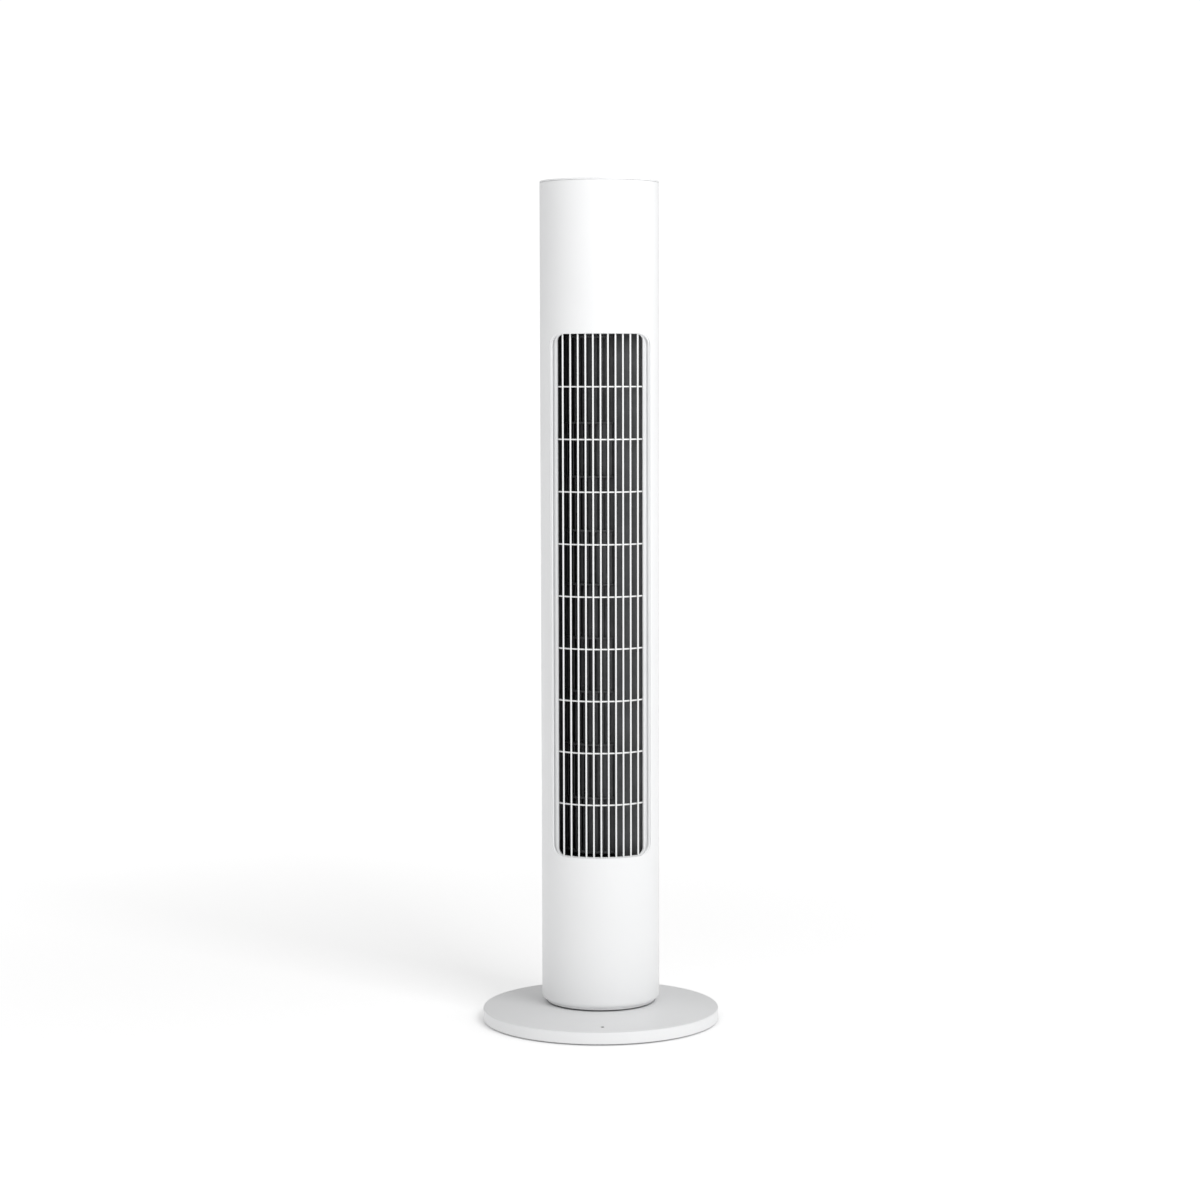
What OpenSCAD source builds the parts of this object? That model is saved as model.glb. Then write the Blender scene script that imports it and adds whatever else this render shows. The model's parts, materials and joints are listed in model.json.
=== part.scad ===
// Tower fan: a round white column that swings on a flat round base.
// Millimetres. +Z is up, the origin is on the swing axis at floor level, and the air outlet faces -Y.

/* [Overall] */
// Height from the floor to the top rim
total_h = 1080; // [1060:1:1100]
// Outer radius of the column
column_r = 76; // [75:0.5:77]
// Wall thickness of the moulded shells
wall = 2.5; // [2:0.1:2.6]

/* [Outlet] */
// Half width of the outlet opening
outlet_half_w = 54.4; // [53:0.1:55]
// Height of the opening's lower edge
outlet_z0 = 223.7; // [223:0.1:225]
// Height of the opening's upper edge
outlet_z1 = 886.2; // [885:0.1:887]
// Corner radius of the opening
outlet_corner_r = 8.5; // [6:0.5:10]
// Number of upright bars in the outlet grille
outlet_bars = 11; // [9:1:13]
// Spacing of the upright bars
bar_pitch = 9.45; // [8:0.05:9.5]
// Width of an upright bar
bar_w = 2.4; // [2:0.1:3]
// Number of rows of gaps, one more than there are hoops
outlet_rows = 10; // [8:1:12]
// Thickness of a hoop
hoop_t = 2; // [1.6:0.1:2.6]

/* [Intake] */
// Half angle of the rear intake, from straight back
intake_half_angle = 68; // [60:1:70]
// Number of upright slats in the rear grille
intake_slats = 33; // [25:2:37]

/* [Impeller] */
// Outer radius of the cross-flow impeller
impeller_r = 46; // [44:0.5:46.5]
// Blades in each segment
blades = 36; // [30:2:40]
// Height of one full segment
segment_h = 68.4; // [68:0.1:68.6]
// Radial length of a blade
blade_depth = 10; // [8:0.5:11]

/* [Base] */
// Outer radius of the base
base_r = 152.5; // [152:0.5:155]
// Height of the base at its rim
rim_h = 17; // [16.5:0.1:18]
// Height of the base where it meets the column
neck_h = 25; // [24.8:0.1:25.2]
// Number of rubber feet
feet = 6; // [4:1:8]

/* [Swivel] */
// Radius of the pivot tube
pivot_r = 14; // [13:0.5:14.5]
// Teeth of the fixed gear
gear_teeth = 48; // [48:16:48]
// Teeth of the drive pinion
pinion_teeth = 16; // [16:16:16]
// Gear module
gear_module = 1.25; // [1.2:0.01:1.3]
// Number of balls in the turntable
balls = 12; // [8:1:16]

/* [Controls] */
// Radius of a key
key_r = 7; // [6:0.5:7.5]
// Spacing of the keys
key_pitch = 24; // [20:1:25]

/* [Hidden] */
$fn = 96;

white = "#f4f4f2";
dark = "#2b2c2e";
black = "#161617";
steel = "#a8abad";
pom = "#e6e2d6";
board_green = "#1f5a3a";
rubber_grey = "#3a3a3b";
brass = "#c9a24a";
copper = "#b4683c";

// Clearances: between fixed neighbours, between parts that move past each other, and in a running fit.
fixed_gap = 0.1;
moving_gap = 0.3;
running_gap = 0.05;

shell_in = column_r - wall;
inner_r = shell_in - fixed_gap;

// Base levels
foot_h = 2;
floor_t = 2.5;
skin = 3;
seat_z = 24;
well_r = 70;
rim_in = base_r - 2.7;
slope_r = base_r - 1.8;
neck_r = 74.5;
dot_r = 131;
dot_z = rim_h + (neck_h - rim_h) * (slope_r - dot_r) / (slope_r - neck_r);
foot_ring_r = 126;
base_screws_n = 6;
base_screw_ring_r = 141;
base_screw_turn = 15;
weight_t = 3.5;

// Turntable levels
ball_r = 2.5;
ball_ring_r = 52;
ball_z = seat_z + 4;
race_w = 8;
race_lower_top = ball_z - 1.5;
race_upper_z = ball_z + 1.5;
plate_z = ball_z + 4;
plate_t = 4;
boss_top = plate_z + plate_t + 8;
gear_z = boss_top + 2;
gear_h = 8;
gear_top = gear_z + gear_h;
pivot_top = gear_top + 3;
pivot_bore_r = 9;
flange_r = 40;
post_ring_r = 62;
post_split = 11;
tab_r = 68.5;

// Column levels
column_z0 = 29.4;
foot_round = 6;
foot_in_r = column_r - foot_round - 0.4;
trim_z0 = 26.4;
cover_z0 = total_h - 2;
shell_z1 = cover_z0 - 0.3;
split_angle = 92;
split_gap = 0.15;
tab_angles = [50, 130];
lug_h = 14;
join_angle = 10;

// Outlet
grille_front_r = column_r - 4;
hoop_front_r = column_r - 5.2;
lip_in_r = column_r - 7.8;
frame_in_r = lip_in_r - 2.7;
pocket_grow = 6.9;
pocket_grow_z = 0.8;
pocket_depth = 4.8;
pocket_y = 35.4;
row_h = (outlet_z1 - outlet_z0) / outlet_rows;

// Duct
duct_floor_z = 214.5;
duct_plate_t = 3.5;
duct_floor_top = duct_floor_z + duct_plate_t;
ceiling_z = outlet_z1 + 5.8;
duct_h = ceiling_z - duct_floor_top;
duct_t = 2;
lug_z = [110, duct_floor_z - lug_h - fixed_gap, ceiling_z + duct_plate_t + fixed_gap, 1030];
scroll_start = 115;
scroll_end = 214.5;
scroll_r0 = impeller_r + 3;
scroll_r1 = 63.2;
lip_angle = -68;
ribbon_x = -64.4;

// Impeller
end_plate_t = 3;
disc_t = 2;
impeller_z0 = outlet_z0 + 0.4;
full_segments = 8;
impeller_z1 = outlet_z1 - 1.6;
top_segment_h = impeller_z1 - impeller_z0 - end_plate_t - full_segments * segment_h;

// Motor
motor_r = 32;
motor_z0 = 160;
motor_z1 = 205;
motor_ear_r = 39;
shaft_r = 4;
stub_r = 3;

// Swing motor, behind the axis
gear_ratio = gear_teeth / pinion_teeth;
pinion_y = gear_module * (gear_teeth + pinion_teeth) / 2;
swing_motor_r = 24;
swing_motor_z = gear_top + 5;
swing_motor_h = 19;
ear_x = 29;

// Controls
panel_r = 66;
panel_top = total_h - 1.2;
panel_t = 2.4;
key_y = -22;
key_names = ["key_power", "key_swing", "key_speed", "key_timer"];
board_z = total_h - 15.6;
window_half_w = 30;
window_y0 = 2;
window_y1 = 12;

// Power inlet, at the back of the base
inlet_half_w = 9.5;
inlet_z = 9.5;
inlet_half_h = 4.9;
inlet_face_y = base_r - 4;
inlet_len = 21;
pin_x = 4.3;

// ---------------------------------------------------------------- helpers

function arc_points(r, a0, a1, n) = [
    for (i = [0:n]) let (a = a0 + (a1 - a0) * i / n) [r * cos(a), r * sin(a)]
];

function rounded_rect(x0, y0, x1, y1, r, n = 8) = concat(
    [for (p = arc_points(r, 180, 270, n)) p + [x0 + r, y0 + r]],
    [for (p = arc_points(r, 270, 360, n)) p + [x1 - r, y0 + r]],
    [for (p = arc_points(r, 0, 90, n)) p + [x1 - r, y1 - r]],
    [for (p = arc_points(r, 90, 180, n)) p + [x0 + r, y1 - r]]
);

// A ring with a true bore, standing on z0.
module ring(r_in, r_out, z0, h) {
    translate([0, 0, z0]) difference() {
        cylinder(r = r_out, h = h);
        translate([0, 0, -1]) cylinder(r = r_in, h = h + 2);
    }
}

// Part of a ring, from angle a0 to angle a1 about Z.
module ring_sector(r_in, r_out, z0, h, a0, a1) {
    rotate([0, 0, a0]) rotate_extrude(angle = a1 - a0)
        translate([r_in, z0]) square([r_out - r_in, h]);
}

// An upright rounded rectangle, extruded along Y from y0 to y1.
module window_prism(half_w, z0, z1, r, y0, y1) {
    rotate([90, 0, 0]) translate([0, 0, -y1]) linear_extrude(y1 - y0)
        polygon(rounded_rect(-half_w, z0, half_w, z1, r));
}

// n copies about Z at radius r.
module around(n, r, start = 0) {
    for (i = [0:n - 1]) rotate([0, 0, start + 360 * i / n]) translate([r, 0, 0]) children();
}

// A pan-head screw with its head's underside at z = 0 and its shank going down.
module screw(shank_r, shank_l, head_r, head_h) {
    difference() {
        union() {
            cylinder(r = head_r, h = head_h);
            translate([0, 0, -shank_l]) cylinder(r = shank_r, h = shank_l + 0.01);
        }
        for (a = [0, 90]) rotate([0, 0, a]) translate([-head_r * 0.6, -head_r * 0.12, head_h * 0.45])
            cube([head_r * 1.2, head_r * 0.24, head_h]);
    }
}

// A tube along a route of points: rings of n points joined by flat faces.
function route_dir(p, i) = let (d = p[min(i + 1, len(p) - 1)] - p[max(i - 1, 0)]) d / norm(d);
function route_ring(p, i, r, n, ref) = let (
    t = route_dir(p, i),
    c = cross(ref, t),
    a = c / norm(c),
    b = cross(t, a)
) [for (k = [0:n - 1]) p[i] + r * (cos(360 * k / n) * a + sin(360 * k / n) * b)];

module routed_tube(p, r, n, ref) {
    last = len(p) - 1;
    polyhedron(
        points = [for (i = [0:last]) each route_ring(p, i, r, n, ref)],
        faces = concat(
            [[for (k = [0:n - 1]) k]],
            [[for (k = [n - 1:-1:0]) last * n + k]],
            [for (i = [0:last - 1]) for (k = [0:n - 1]) let (m = (k + 1) % n)
                [i * n + k, (i + 1) * n + k, (i + 1) * n + m, i * n + m]]
        )
    );
}

// ---------------------------------------------------------------- gears

pressure_angle = 20;
addendum = 0.8;
dedendum = 1.15;
backlash = 0.16;

function involute_angle(rb, r) = let (c = acos(min(1, rb / r))) tan(c) * 180 / PI - c;

// Half a tooth's angle at radius r, for a gear of z teeth.
function tooth_half_angle(z, r) = let (
    rp = gear_module * z / 2,
    rb = rp * cos(pressure_angle)
) 90 / z - backlash / rp * 90 / PI + involute_angle(rb, rp) - involute_angle(rb, max(r, rb));

function gear_profile(z, steps = 5) = let (
    rp = gear_module * z / 2,
    r_root = rp - dedendum * gear_module,
    r_tip = rp + addendum * gear_module,
    r_low = max(r_root, rp * cos(pressure_angle)),
    radii = [for (i = [0:steps]) r_low + (r_tip - r_low) * i / steps]
) [for (t = [0:z - 1]) let (mid = 360 * t / z) each concat(
    [let (a = mid - tooth_half_angle(z, r_low)) [r_root * cos(a), r_root * sin(a)]],
    [for (r = radii) let (a = mid - tooth_half_angle(z, r)) [r * cos(a), r * sin(a)]],
    [for (i = [steps:-1:0]) let (r = radii[i], a = mid + tooth_half_angle(z, r)) [r * cos(a), r * sin(a)]],
    [let (a = mid + tooth_half_angle(z, r_low)) [r_root * cos(a), r_root * sin(a)]]
)];

// ---------------------------------------------------------------- base

// Children at each screw that holds the floor plate.
module at_base_screws() {
    around(base_screws_n, base_screw_ring_r, base_screw_turn) children();
}

module base_cover() {
    color(white) difference() {
        union() {
            rotate_extrude() polygon([
                [12, seat_z - skin],
                [73, seat_z - skin],
                [73, neck_h - skin],
                [rim_in - 1, rim_h - skin + 0.2],
                [rim_in, rim_h - skin - 1],
                [rim_in, foot_h],
                [base_r, foot_h],
                [base_r, rim_h - 1.8],
                [base_r - 0.6, rim_h - 0.6],
                [slope_r, rim_h],
                [neck_r, neck_h],
                [well_r, neck_h],
                [well_r, seat_z],
                [12, seat_z]
            ]);
            at_base_screws() translate([0, 0, foot_h + floor_t + fixed_gap])
                cylinder(r = 4, h = rim_h - foot_h - floor_t - 0.9);
        }
        at_base_screws() translate([0, 0, foot_h]) cylinder(r = 1.4, h = 9);
        around(4, 30, 45) translate([0, 0, seat_z - skin - 1]) cylinder(r = 1.6, h = skin + 2);
        translate([-inlet_half_w - 0.2, rim_in - 4, inlet_z - inlet_half_h - 0.2])
            cube([2 * inlet_half_w + 0.4, 12, 2 * inlet_half_h + 0.4]);
        translate([0, -dot_r, dot_z - 1]) cylinder(r = 2.25, h = 3);
    }
}

module base_plate() {
    color(white) difference() {
        translate([0, 0, foot_h]) cylinder(r = rim_in - fixed_gap, h = floor_t);
        around(feet, foot_ring_r) translate([0, 0, foot_h - 1]) cylinder(r = 9.2, h = 2.2);
        at_base_screws() translate([0, 0, foot_h - 1]) cylinder(r = 1.8, h = floor_t + 2);
        at_base_screws() translate([0, 0, foot_h - 1]) cylinder(r = 3.4, h = 2);
    }
}

module counterweight() {
    slot_w = 14;
    color(steel) difference() {
        ring(62, 124, foot_h + floor_t + fixed_gap, weight_t);
        translate([-slot_w / 2, 50, 0]) cube([slot_w, 90, 20]);
    }
}

module rubber_feet() {
    color(rubber_grey) around(feet, foot_ring_r) difference() {
        cylinder(r = 9, h = 3.1);
        translate([0, 0, -1]) cylinder(r = 3, h = 1.6);
    }
}

module base_screws() {
    color(steel) at_base_screws() translate([0, 0, foot_h + 0.95]) mirror([0, 0, 1])
        screw(1.35, 7.6, 3.1, 0.9);
}

module swivel_hub() {
    color(pom) difference() {
        union() {
            translate([0, 0, seat_z]) cylinder(r = flange_r, h = 3);
            translate([0, 0, seat_z]) cylinder(r = pivot_r, h = pivot_top - seat_z);
            translate([-1.5, -pivot_r - 1.5, gear_z]) cube([3, 4, gear_h]);
        }
        translate([0, 0, seat_z - 1]) cylinder(r = pivot_bore_r, h = pivot_top - seat_z + 2);
        around(4, 30, 45) translate([0, 0, seat_z - 1]) cylinder(r = 1.8, h = 5);
        ring(pivot_r - 1.3, pivot_r + 4, gear_top, 1.4);
    }
}

module hub_screws() {
    color(steel) around(4, 30, 45) translate([0, 0, seat_z + 3.02]) screw(1.5, 5.6, 3.1, 1.6);
}

module race(z0, h, groove_z) {
    difference() {
        ring(ball_ring_r - race_w / 2, ball_ring_r + race_w / 2, z0, h);
        translate([0, 0, groove_z]) rotate_extrude() translate([ball_ring_r, 0]) circle(r = ball_r + 0.1);
    }
}

module lower_race() {
    color(steel) race(seat_z, race_lower_top - seat_z, ball_z);
}

module fixed_gear() {
    color(pom) difference() {
        translate([0, 0, gear_z]) linear_extrude(gear_h) polygon(gear_profile(gear_teeth));
        translate([0, 0, gear_z - 1]) cylinder(r = pivot_r + fixed_gap, h = gear_h + 2);
        translate([-1.6, -pivot_r - 1.6, gear_z - 1]) cube([3.2, 5, gear_h + 2]);
        around(6, 22, 0) translate([0, 0, gear_z - 1]) cylinder(r = 3, h = gear_h + 2);
    }
}

// A snap ring in the groove above the fixed gear.
module retaining_clip() {
    color(steel) ring_sector(pivot_r - 1.2, pivot_r + 4, gear_top + fixed_gap, 1.2, -70, 250);
}

module power_inlet() {
    back = inlet_face_y - inlet_len;
    cavity_r = 4;
    color(black) difference() {
        translate([-inlet_half_w, back, inlet_z - inlet_half_h])
            cube([2 * inlet_half_w, inlet_len, 2 * inlet_half_h]);
        window_prism(pin_x - 0.4 + cavity_r, inlet_z - cavity_r, inlet_z + cavity_r, cavity_r - 0.01,
            inlet_face_y - 12, inlet_face_y + 1);
        for (s = [-1, 1]) translate([s * pin_x, back - 1, inlet_z]) rotate([-90, 0, 0])
            cylinder(r = 1.2 + running_gap, h = inlet_len);
        translate([0, back - 1, inlet_z]) rotate([-90, 0, 0]) cylinder(r = 2.6, h = 5);
    }
}

module inlet_pins() {
    color(brass) for (s = [-1, 1]) translate([s * pin_x, inlet_face_y - inlet_len - 2, inlet_z])
        rotate([-90, 0, 0]) cylinder(r = 1.2, h = inlet_len - 1);
}

// The lead inside the base: from the inlet, through the slot in the counterweight, and up the pivot tube.
base_route = [
    [0, 130.5, 9.5], [0, 124, 9.3], [0, 114, 8.6], [0, 100, 8], [0, 85, 7.6], [0, 70, 7.6], [0, 56, 8],
    [0, 42, 8.6], [0, 30, 9.4], [0, 20, 10.8], [0, 12, 13.2], [0, 6, 17], [0, 2.4, 22], [0, 0.8, 28],
    [0, 0, 36], [0, 0, 46], [0, 0, 56]
];

module base_lead() {
    color(black) routed_tube(base_route, 2.4, 10, [1, 0, 0]);
}

module front_index_dot() {
    color(rubber_grey) translate([0, -dot_r, dot_z - 1]) cylinder(r = 2.2, h = 0.95);
}

// ---------------------------------------------------------------- turntable

module ball_cage() {
    color(pom) difference() {
        ring(ball_ring_r - 3.6, ball_ring_r + 3.6, ball_z - 0.8, 1.6);
        around(balls, ball_ring_r) translate([0, 0, ball_z - 2]) cylinder(r = ball_r + 0.1, h = 4);
    }
}

module bearing_balls() {
    color(steel) around(balls, ball_ring_r) translate([0, 0, ball_z]) sphere(r = ball_r);
}

module turntable_plate() {
    color(dark) difference() {
        union() {
            translate([0, 0, plate_z]) cylinder(r = inner_r, h = plate_t);
            translate([0, 0, plate_z]) cylinder(r = 22, h = boss_top - plate_z);
            for (s = [-1, 1]) translate([s * ear_x, pinion_y, plate_z + 1])
                cylinder(r = 4, h = swing_motor_z - plate_z - 1 - fixed_gap);
            around(3, post_ring_r, 30) translate([0, 0, plate_z + 1]) cylinder(r = 4, h = post_split - 1);
        }
        translate([0, 0, plate_z - 1]) cylinder(r = pivot_r + running_gap, h = boss_top - plate_z + 2);
        for (s = [-1, 1]) translate([s * ear_x, pinion_y, swing_motor_z - 12]) cylinder(r = 1.3, h = 13);
        around(3, post_ring_r, 30) translate([0, 0, plate_z + 3]) cylinder(r = 1.6, h = post_split);
        for (a = tab_angles, s = [-1, 1]) rotate([0, 0, s * a]) translate([tab_r, 0, plate_z + 1])
            cylinder(r = 1.3, h = plate_t);
    }
}

module upper_race() {
    color(steel) race(race_upper_z, plate_z - fixed_gap - race_upper_z, ball_z);
}

module bottom_trim_ring() {
    color(white) ring(63, foot_in_r - fixed_gap, trim_z0, plate_z - fixed_gap - trim_z0);
}

// ---------------------------------------------------------------- housings

// One shell of the column, from angle a0 to a1 about Z, with its lower edge rounded in under the turntable.
module column_shell(a0, a1) {
    round_centre = [column_r - foot_round, column_z0 + foot_round];
    rotate([0, 0, a0]) rotate_extrude(angle = a1 - a0) polygon(concat(
        [[foot_in_r, column_z0]],
        [for (p = arc_points(foot_round, -90, 0, 6)) p + round_centre],
        [
            [column_r, shell_z1],
            [shell_in, shell_z1],
            [shell_in, plate_z - fixed_gap],
            [foot_in_r, plate_z - fixed_gap]
        ]
    ));
}

// Children at each screw that joins the shells, at radius r with +Z pointing outwards.
module at_lugs(r) {
    for (z = lug_z, s = [-1, 1]) rotate([0, 0, 90 + s * (90 - join_angle)]) translate([r, 0, z + lug_h / 2])
        rotate([0, 90, 0]) children();
}

module lug_holes(r) {
    at_lugs(column_r - 9.8) cylinder(r = r, h = 12);
}

// Tabs that stand on the turntable plate; side is -1 for the front shell and 1 for the rear one.
module foot_tabs(side) {
    for (a = tab_angles)
        ring_sector(64, shell_in + 0.2, plate_z + plate_t + fixed_gap, 3, side * a - 6, side * a + 6);
}

module tab_holes(side) {
    for (a = tab_angles) rotate([0, 0, side * a]) translate([tab_r, 0, plate_z + plate_t])
        cylinder(r = 1.7, h = 4);
}

// The front shell's tongues reach past the seam, behind the rear shell's lugs.
module joining_tongues(z) {
    for (s = [-1, 1]) {
        seam = 90 + s * (180 - split_angle + split_gap);
        tip = 90 + s * (90 - join_angle - 3);
        root = 90 + s * (180 - split_angle + 5);
        ring_sector(shell_in - 5, shell_in + 0.2, z + 0.5, lug_h - 1, min(seam, root), max(seam, root));
        ring_sector(shell_in - 6.5, shell_in - 3.1, z, lug_h, min(tip, root + s), max(tip, root + s));
    }
}

module front_housing() {
    a0 = -90 - split_angle + split_gap;
    a1 = -90 + split_angle - split_gap;
    color(white) difference() {
        union() {
            column_shell(a0, a1);
            intersection() {
                ring_sector(lip_in_r, column_r - 0.4, outlet_z0 - 5, outlet_z1 - outlet_z0 + 10, -160, -20);
                translate([-70, -80, 0]) cube([140, 80 - pocket_y + 1, total_h]);
            }
            foot_tabs(-1);
            for (z = lug_z) joining_tongues(z);
        }
        tab_holes(-1);
        lug_holes(1.7);
        window_prism(outlet_half_w, outlet_z0, outlet_z1, outlet_corner_r, -90, -30);
        difference() {
            window_prism(outlet_half_w + pocket_grow, outlet_z0 - pocket_grow_z, outlet_z1 + pocket_grow_z,
                outlet_corner_r + 4.5, -90, -pocket_y);
            cylinder(r = column_r - pocket_depth, h = total_h);
        }
    }
}

module rear_housing() {
    a0 = -90 + split_angle + split_gap;
    a1 = 270 - split_angle - split_gap;
    color(white) difference() {
        union() {
            column_shell(a0, a1);
            ring_sector(shell_in - 4, shell_in + 0.2, duct_floor_top + moving_gap, lug_h, 75, 105);
            foot_tabs(1);
            for (z = lug_z, s = [-1, 1]) let (a = 90 + s * (90 - join_angle))
                ring_sector(shell_in - 3, shell_in + 0.2, z, lug_h, a - 3, a + 3);
        }
        tab_holes(1);
        lug_holes(1.9);
        ring_sector(shell_in - 0.6, column_r + 2, outlet_z0, outlet_z1 - outlet_z0,
            90 - intake_half_angle, 90 + intake_half_angle);
        at_lugs(column_r - 1.6) cylinder(r = 3.4, h = 4);
        for (a = [84, 96]) rotate([0, 0, a]) translate([shell_in - 5, 0, outlet_z0 + 4]) rotate([0, 90, 0])
            cylinder(r = 1.2, h = 8);
    }
}

module housing_screws() {
    color(steel) at_lugs(column_r - 1.55) screw(1.6, 7.5, 3.1, 1.3);
}

module foot_screws() {
    color(steel) for (a = tab_angles, s = [-1, 1]) rotate([0, 0, s * a])
        translate([tab_r, 0, plate_z + plate_t + 3.12]) screw(1.2, 5.5, 2.8, 1.6);
}

module grille_bars(z0, z1) {
    for (i = [0:outlet_bars - 1]) {
        x = (i - (outlet_bars - 1) / 2) * bar_pitch;
        y = -sqrt(pow(grille_front_r, 2) - x * x);
        translate([x - bar_w / 2, y, z0]) cube([bar_w, 7.2, z1 - z0]);
    }
}

module front_grille() {
    z0 = outlet_z0 - 4.4;
    z1 = outlet_z1 + 4.4;
    frame_angle = 59.5;
    bite = 1.2;
    color(white) union() {
        difference() {
            union() {
                grille_bars(z0 + bite, z1 - bite);
                for (k = [1:outlet_rows - 1])
                    ring_sector(frame_in_r + 1, hoop_front_r, outlet_z0 + k * row_h - hoop_t / 2, hoop_t,
                        -90 - frame_angle + 4, -90 + frame_angle - 4);
            }
            difference() {
                ring_sector(lip_in_r - 0.9, column_r + 2, z0 - 1, z1 - z0 + 2, -150, -30);
                window_prism(outlet_half_w - 0.2, outlet_z0 + 0.2, outlet_z1 - 0.2, outlet_corner_r - 0.2,
                    -90, -30);
            }
        }
        difference() {
            ring_sector(frame_in_r, lip_in_r - 0.2, z0, z1 - z0, -90 - frame_angle, -90 + frame_angle);
            window_prism(outlet_half_w + 0.6, outlet_z0 - 0.6, outlet_z1 + 0.6, outlet_corner_r - 1,
                -90, -20);
        }
    }
}

module rear_grille() {
    z0 = outlet_z0 + 0.3;
    h = outlet_z1 - outlet_z0 - 0.6;
    a0 = 90 - intake_half_angle + 0.25;
    a1 = 90 + intake_half_angle - 0.25;
    border = 13;
    step = (a1 - a0) / (intake_slats + 1);
    color(white) difference() {
        union() {
            difference() {
                ring_sector(shell_in - 0.5, column_r, z0, h, a0, a1);
                ring_sector(shell_in - 2, column_r + 2, z0 + border, h - 2 * border, a0 + 2.2, a1 - 2.2);
            }
            for (i = [1:intake_slats]) rotate([0, 0, a0 + i * step])
                translate([shell_in + 0.1, -0.9, z0 + border - 1])
                    cube([wall - 0.4, 1.8, h - 2 * border + 2]);
            for (k = [1:outlet_rows - 1])
                ring_sector(shell_in - 0.2, column_r - 1.1, outlet_z0 + k * row_h - 1, 2,
                    a0 + 1.3, a1 - 1.3);
        }
        for (a = [84, 96]) rotate([0, 0, a]) translate([shell_in - 5, 0, outlet_z0 + 4])
            rotate([0, 90, 0]) {
                cylinder(r = 1.5, h = 12);
                translate([0, 0, 6]) cylinder(r = 3, h = 6);
            }
    }
}

module grille_screws() {
    color(steel) for (a = [84, 96]) rotate([0, 0, a]) translate([shell_in + 1.02, 0, outlet_z0 + 4])
        rotate([0, 90, 0]) screw(1.1, 5.5, 2.7, 1.2);
}

// ---------------------------------------------------------------- duct

// The scroll's inner wall is a spiral that opens out in the direction of rotation.
function scroll_radius(a) = let (
    turned = (a - scroll_start) / (scroll_end - scroll_start)
) scroll_r0 * pow(scroll_r1 / scroll_r0, turned);

module scroll() {
    steps = 40;
    angles = [for (i = [0:steps]) scroll_start + (scroll_end - scroll_start) * i / steps];
    inner = [for (a = angles) scroll_radius(a) * [cos(a), sin(a)]];
    outer = [for (i = [steps:-1:0]) (scroll_radius(angles[i]) + duct_t) * [cos(angles[i]), sin(angles[i])]];
    color(dark) translate([0, 0, duct_floor_top + fixed_gap]) union() {
        linear_extrude(duct_h - 2 * fixed_gap) polygon(concat(inner, outer));
        translate((scroll_r0 + duct_t / 2) * [cos(scroll_start), sin(scroll_start), 0])
            cylinder(r = 1.8, h = duct_h - 2 * fixed_gap);
    }
}

// The stabilizer: a face that guides the air out, and an arc that follows the impeller.
module stabilizer() {
    r_lip = impeller_r + 3.4;
    tip = r_lip * [cos(lip_angle), sin(lip_angle)];
    far = [53.4, -37.2];
    steps = 16;
    start = tip + [1.1, 0.5];
    face = [for (i = [0:steps]) let (t = i / steps) start + t * (far - start) + [0, 2.4 * sin(180 * t)]];
    back = [for (i = [steps:-1:0]) face[i] + [0, duct_t]];
    h = duct_h - 2 * fixed_gap;
    color(dark) translate([0, 0, duct_floor_top + fixed_gap]) union() {
        linear_extrude(h) polygon(concat(face, back));
        ring_sector(r_lip, r_lip + duct_t, 0, h, lip_angle + 0.9, -38);
        translate([tip[0] + 0.4, tip[1] + 0.8, 0]) cylinder(r = 1.7, h = h);
    }
}

module duct_floor() {
    color(dark) difference() {
        translate([0, 0, duct_floor_z]) cylinder(r = inner_r, h = duct_plate_t);
        translate([0, 0, duct_floor_z - 1]) cylinder(r = 12, h = duct_plate_t + 2);
        around(3, motor_ear_r, 30) translate([0, 0, duct_floor_z - 1])
            cylinder(r = 1.7, h = duct_plate_t + 2);
        translate([ribbon_x - 2.6, -6, duct_floor_z - 1]) cube([6, 12, duct_plate_t + 2]);
    }
}

module duct_ceiling() {
    color(dark) difference() {
        union() {
            translate([0, 0, ceiling_z]) cylinder(r = inner_r, h = duct_plate_t);
            translate([0, 0, ceiling_z]) cylinder(r = 16, h = 13);
        }
        translate([0, 0, ceiling_z + 3]) cylinder(r = 11 + fixed_gap, h = 12);
        translate([0, 0, ceiling_z - 1]) cylinder(r = 5, h = 6);
        around(3, 13.6, 0) translate([0, 0, ceiling_z + 5]) cylinder(r = 0.9, h = 9);
        translate([ribbon_x - 2.6, -6, ceiling_z - 1]) cube([6, 12, duct_plate_t + 2]);
    }
}

module bearing_cup() {
    color(rubber_grey) ring(6 + fixed_gap, 11, ceiling_z + 3.1, 9.6);
}

module bearing_bush() {
    color(brass) ring(stub_r + running_gap, 6, ceiling_z + 3.2, 9.4);
}

module bearing_cap() {
    color(steel) difference() {
        ring(5, 16, ceiling_z + 13.05, 1.2);
        around(3, 13.6, 0) translate([0, 0, ceiling_z + 12]) cylinder(r = 1.1, h = 3);
    }
}

// ---------------------------------------------------------------- impeller

// One forward-curved blade, in plan: an arc of even thickness between the inner and outer radius.
function blade_line(t) = let (
    r = impeller_r - 0.6 - blade_depth * (1 - t),
    lean = 15 * pow(t, 1.7)
) [r * cos(lean), r * sin(lean)];

module blade_plan() {
    steps = 2;
    half_t = 0.55;
    mid = [for (i = [0:steps]) blade_line(i / steps)];
    side = [for (i = [0:steps]) let (
        d = mid[min(i + 1, steps)] - mid[max(i - 1, 0)],
        n = [-d[1], d[0]] / norm(d)
    ) n * half_t];
    polygon(concat([for (i = [0:steps]) mid[i] - side[i]], [for (i = [steps:-1:0]) mid[i] + side[i]]));
}

module blade_row(z0, h, turn) {
    translate([0, 0, z0]) linear_extrude(h)
        for (i = [0:blades - 1]) rotate([0, 0, turn + 360 * i / blades]) blade_plan();
}

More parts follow.
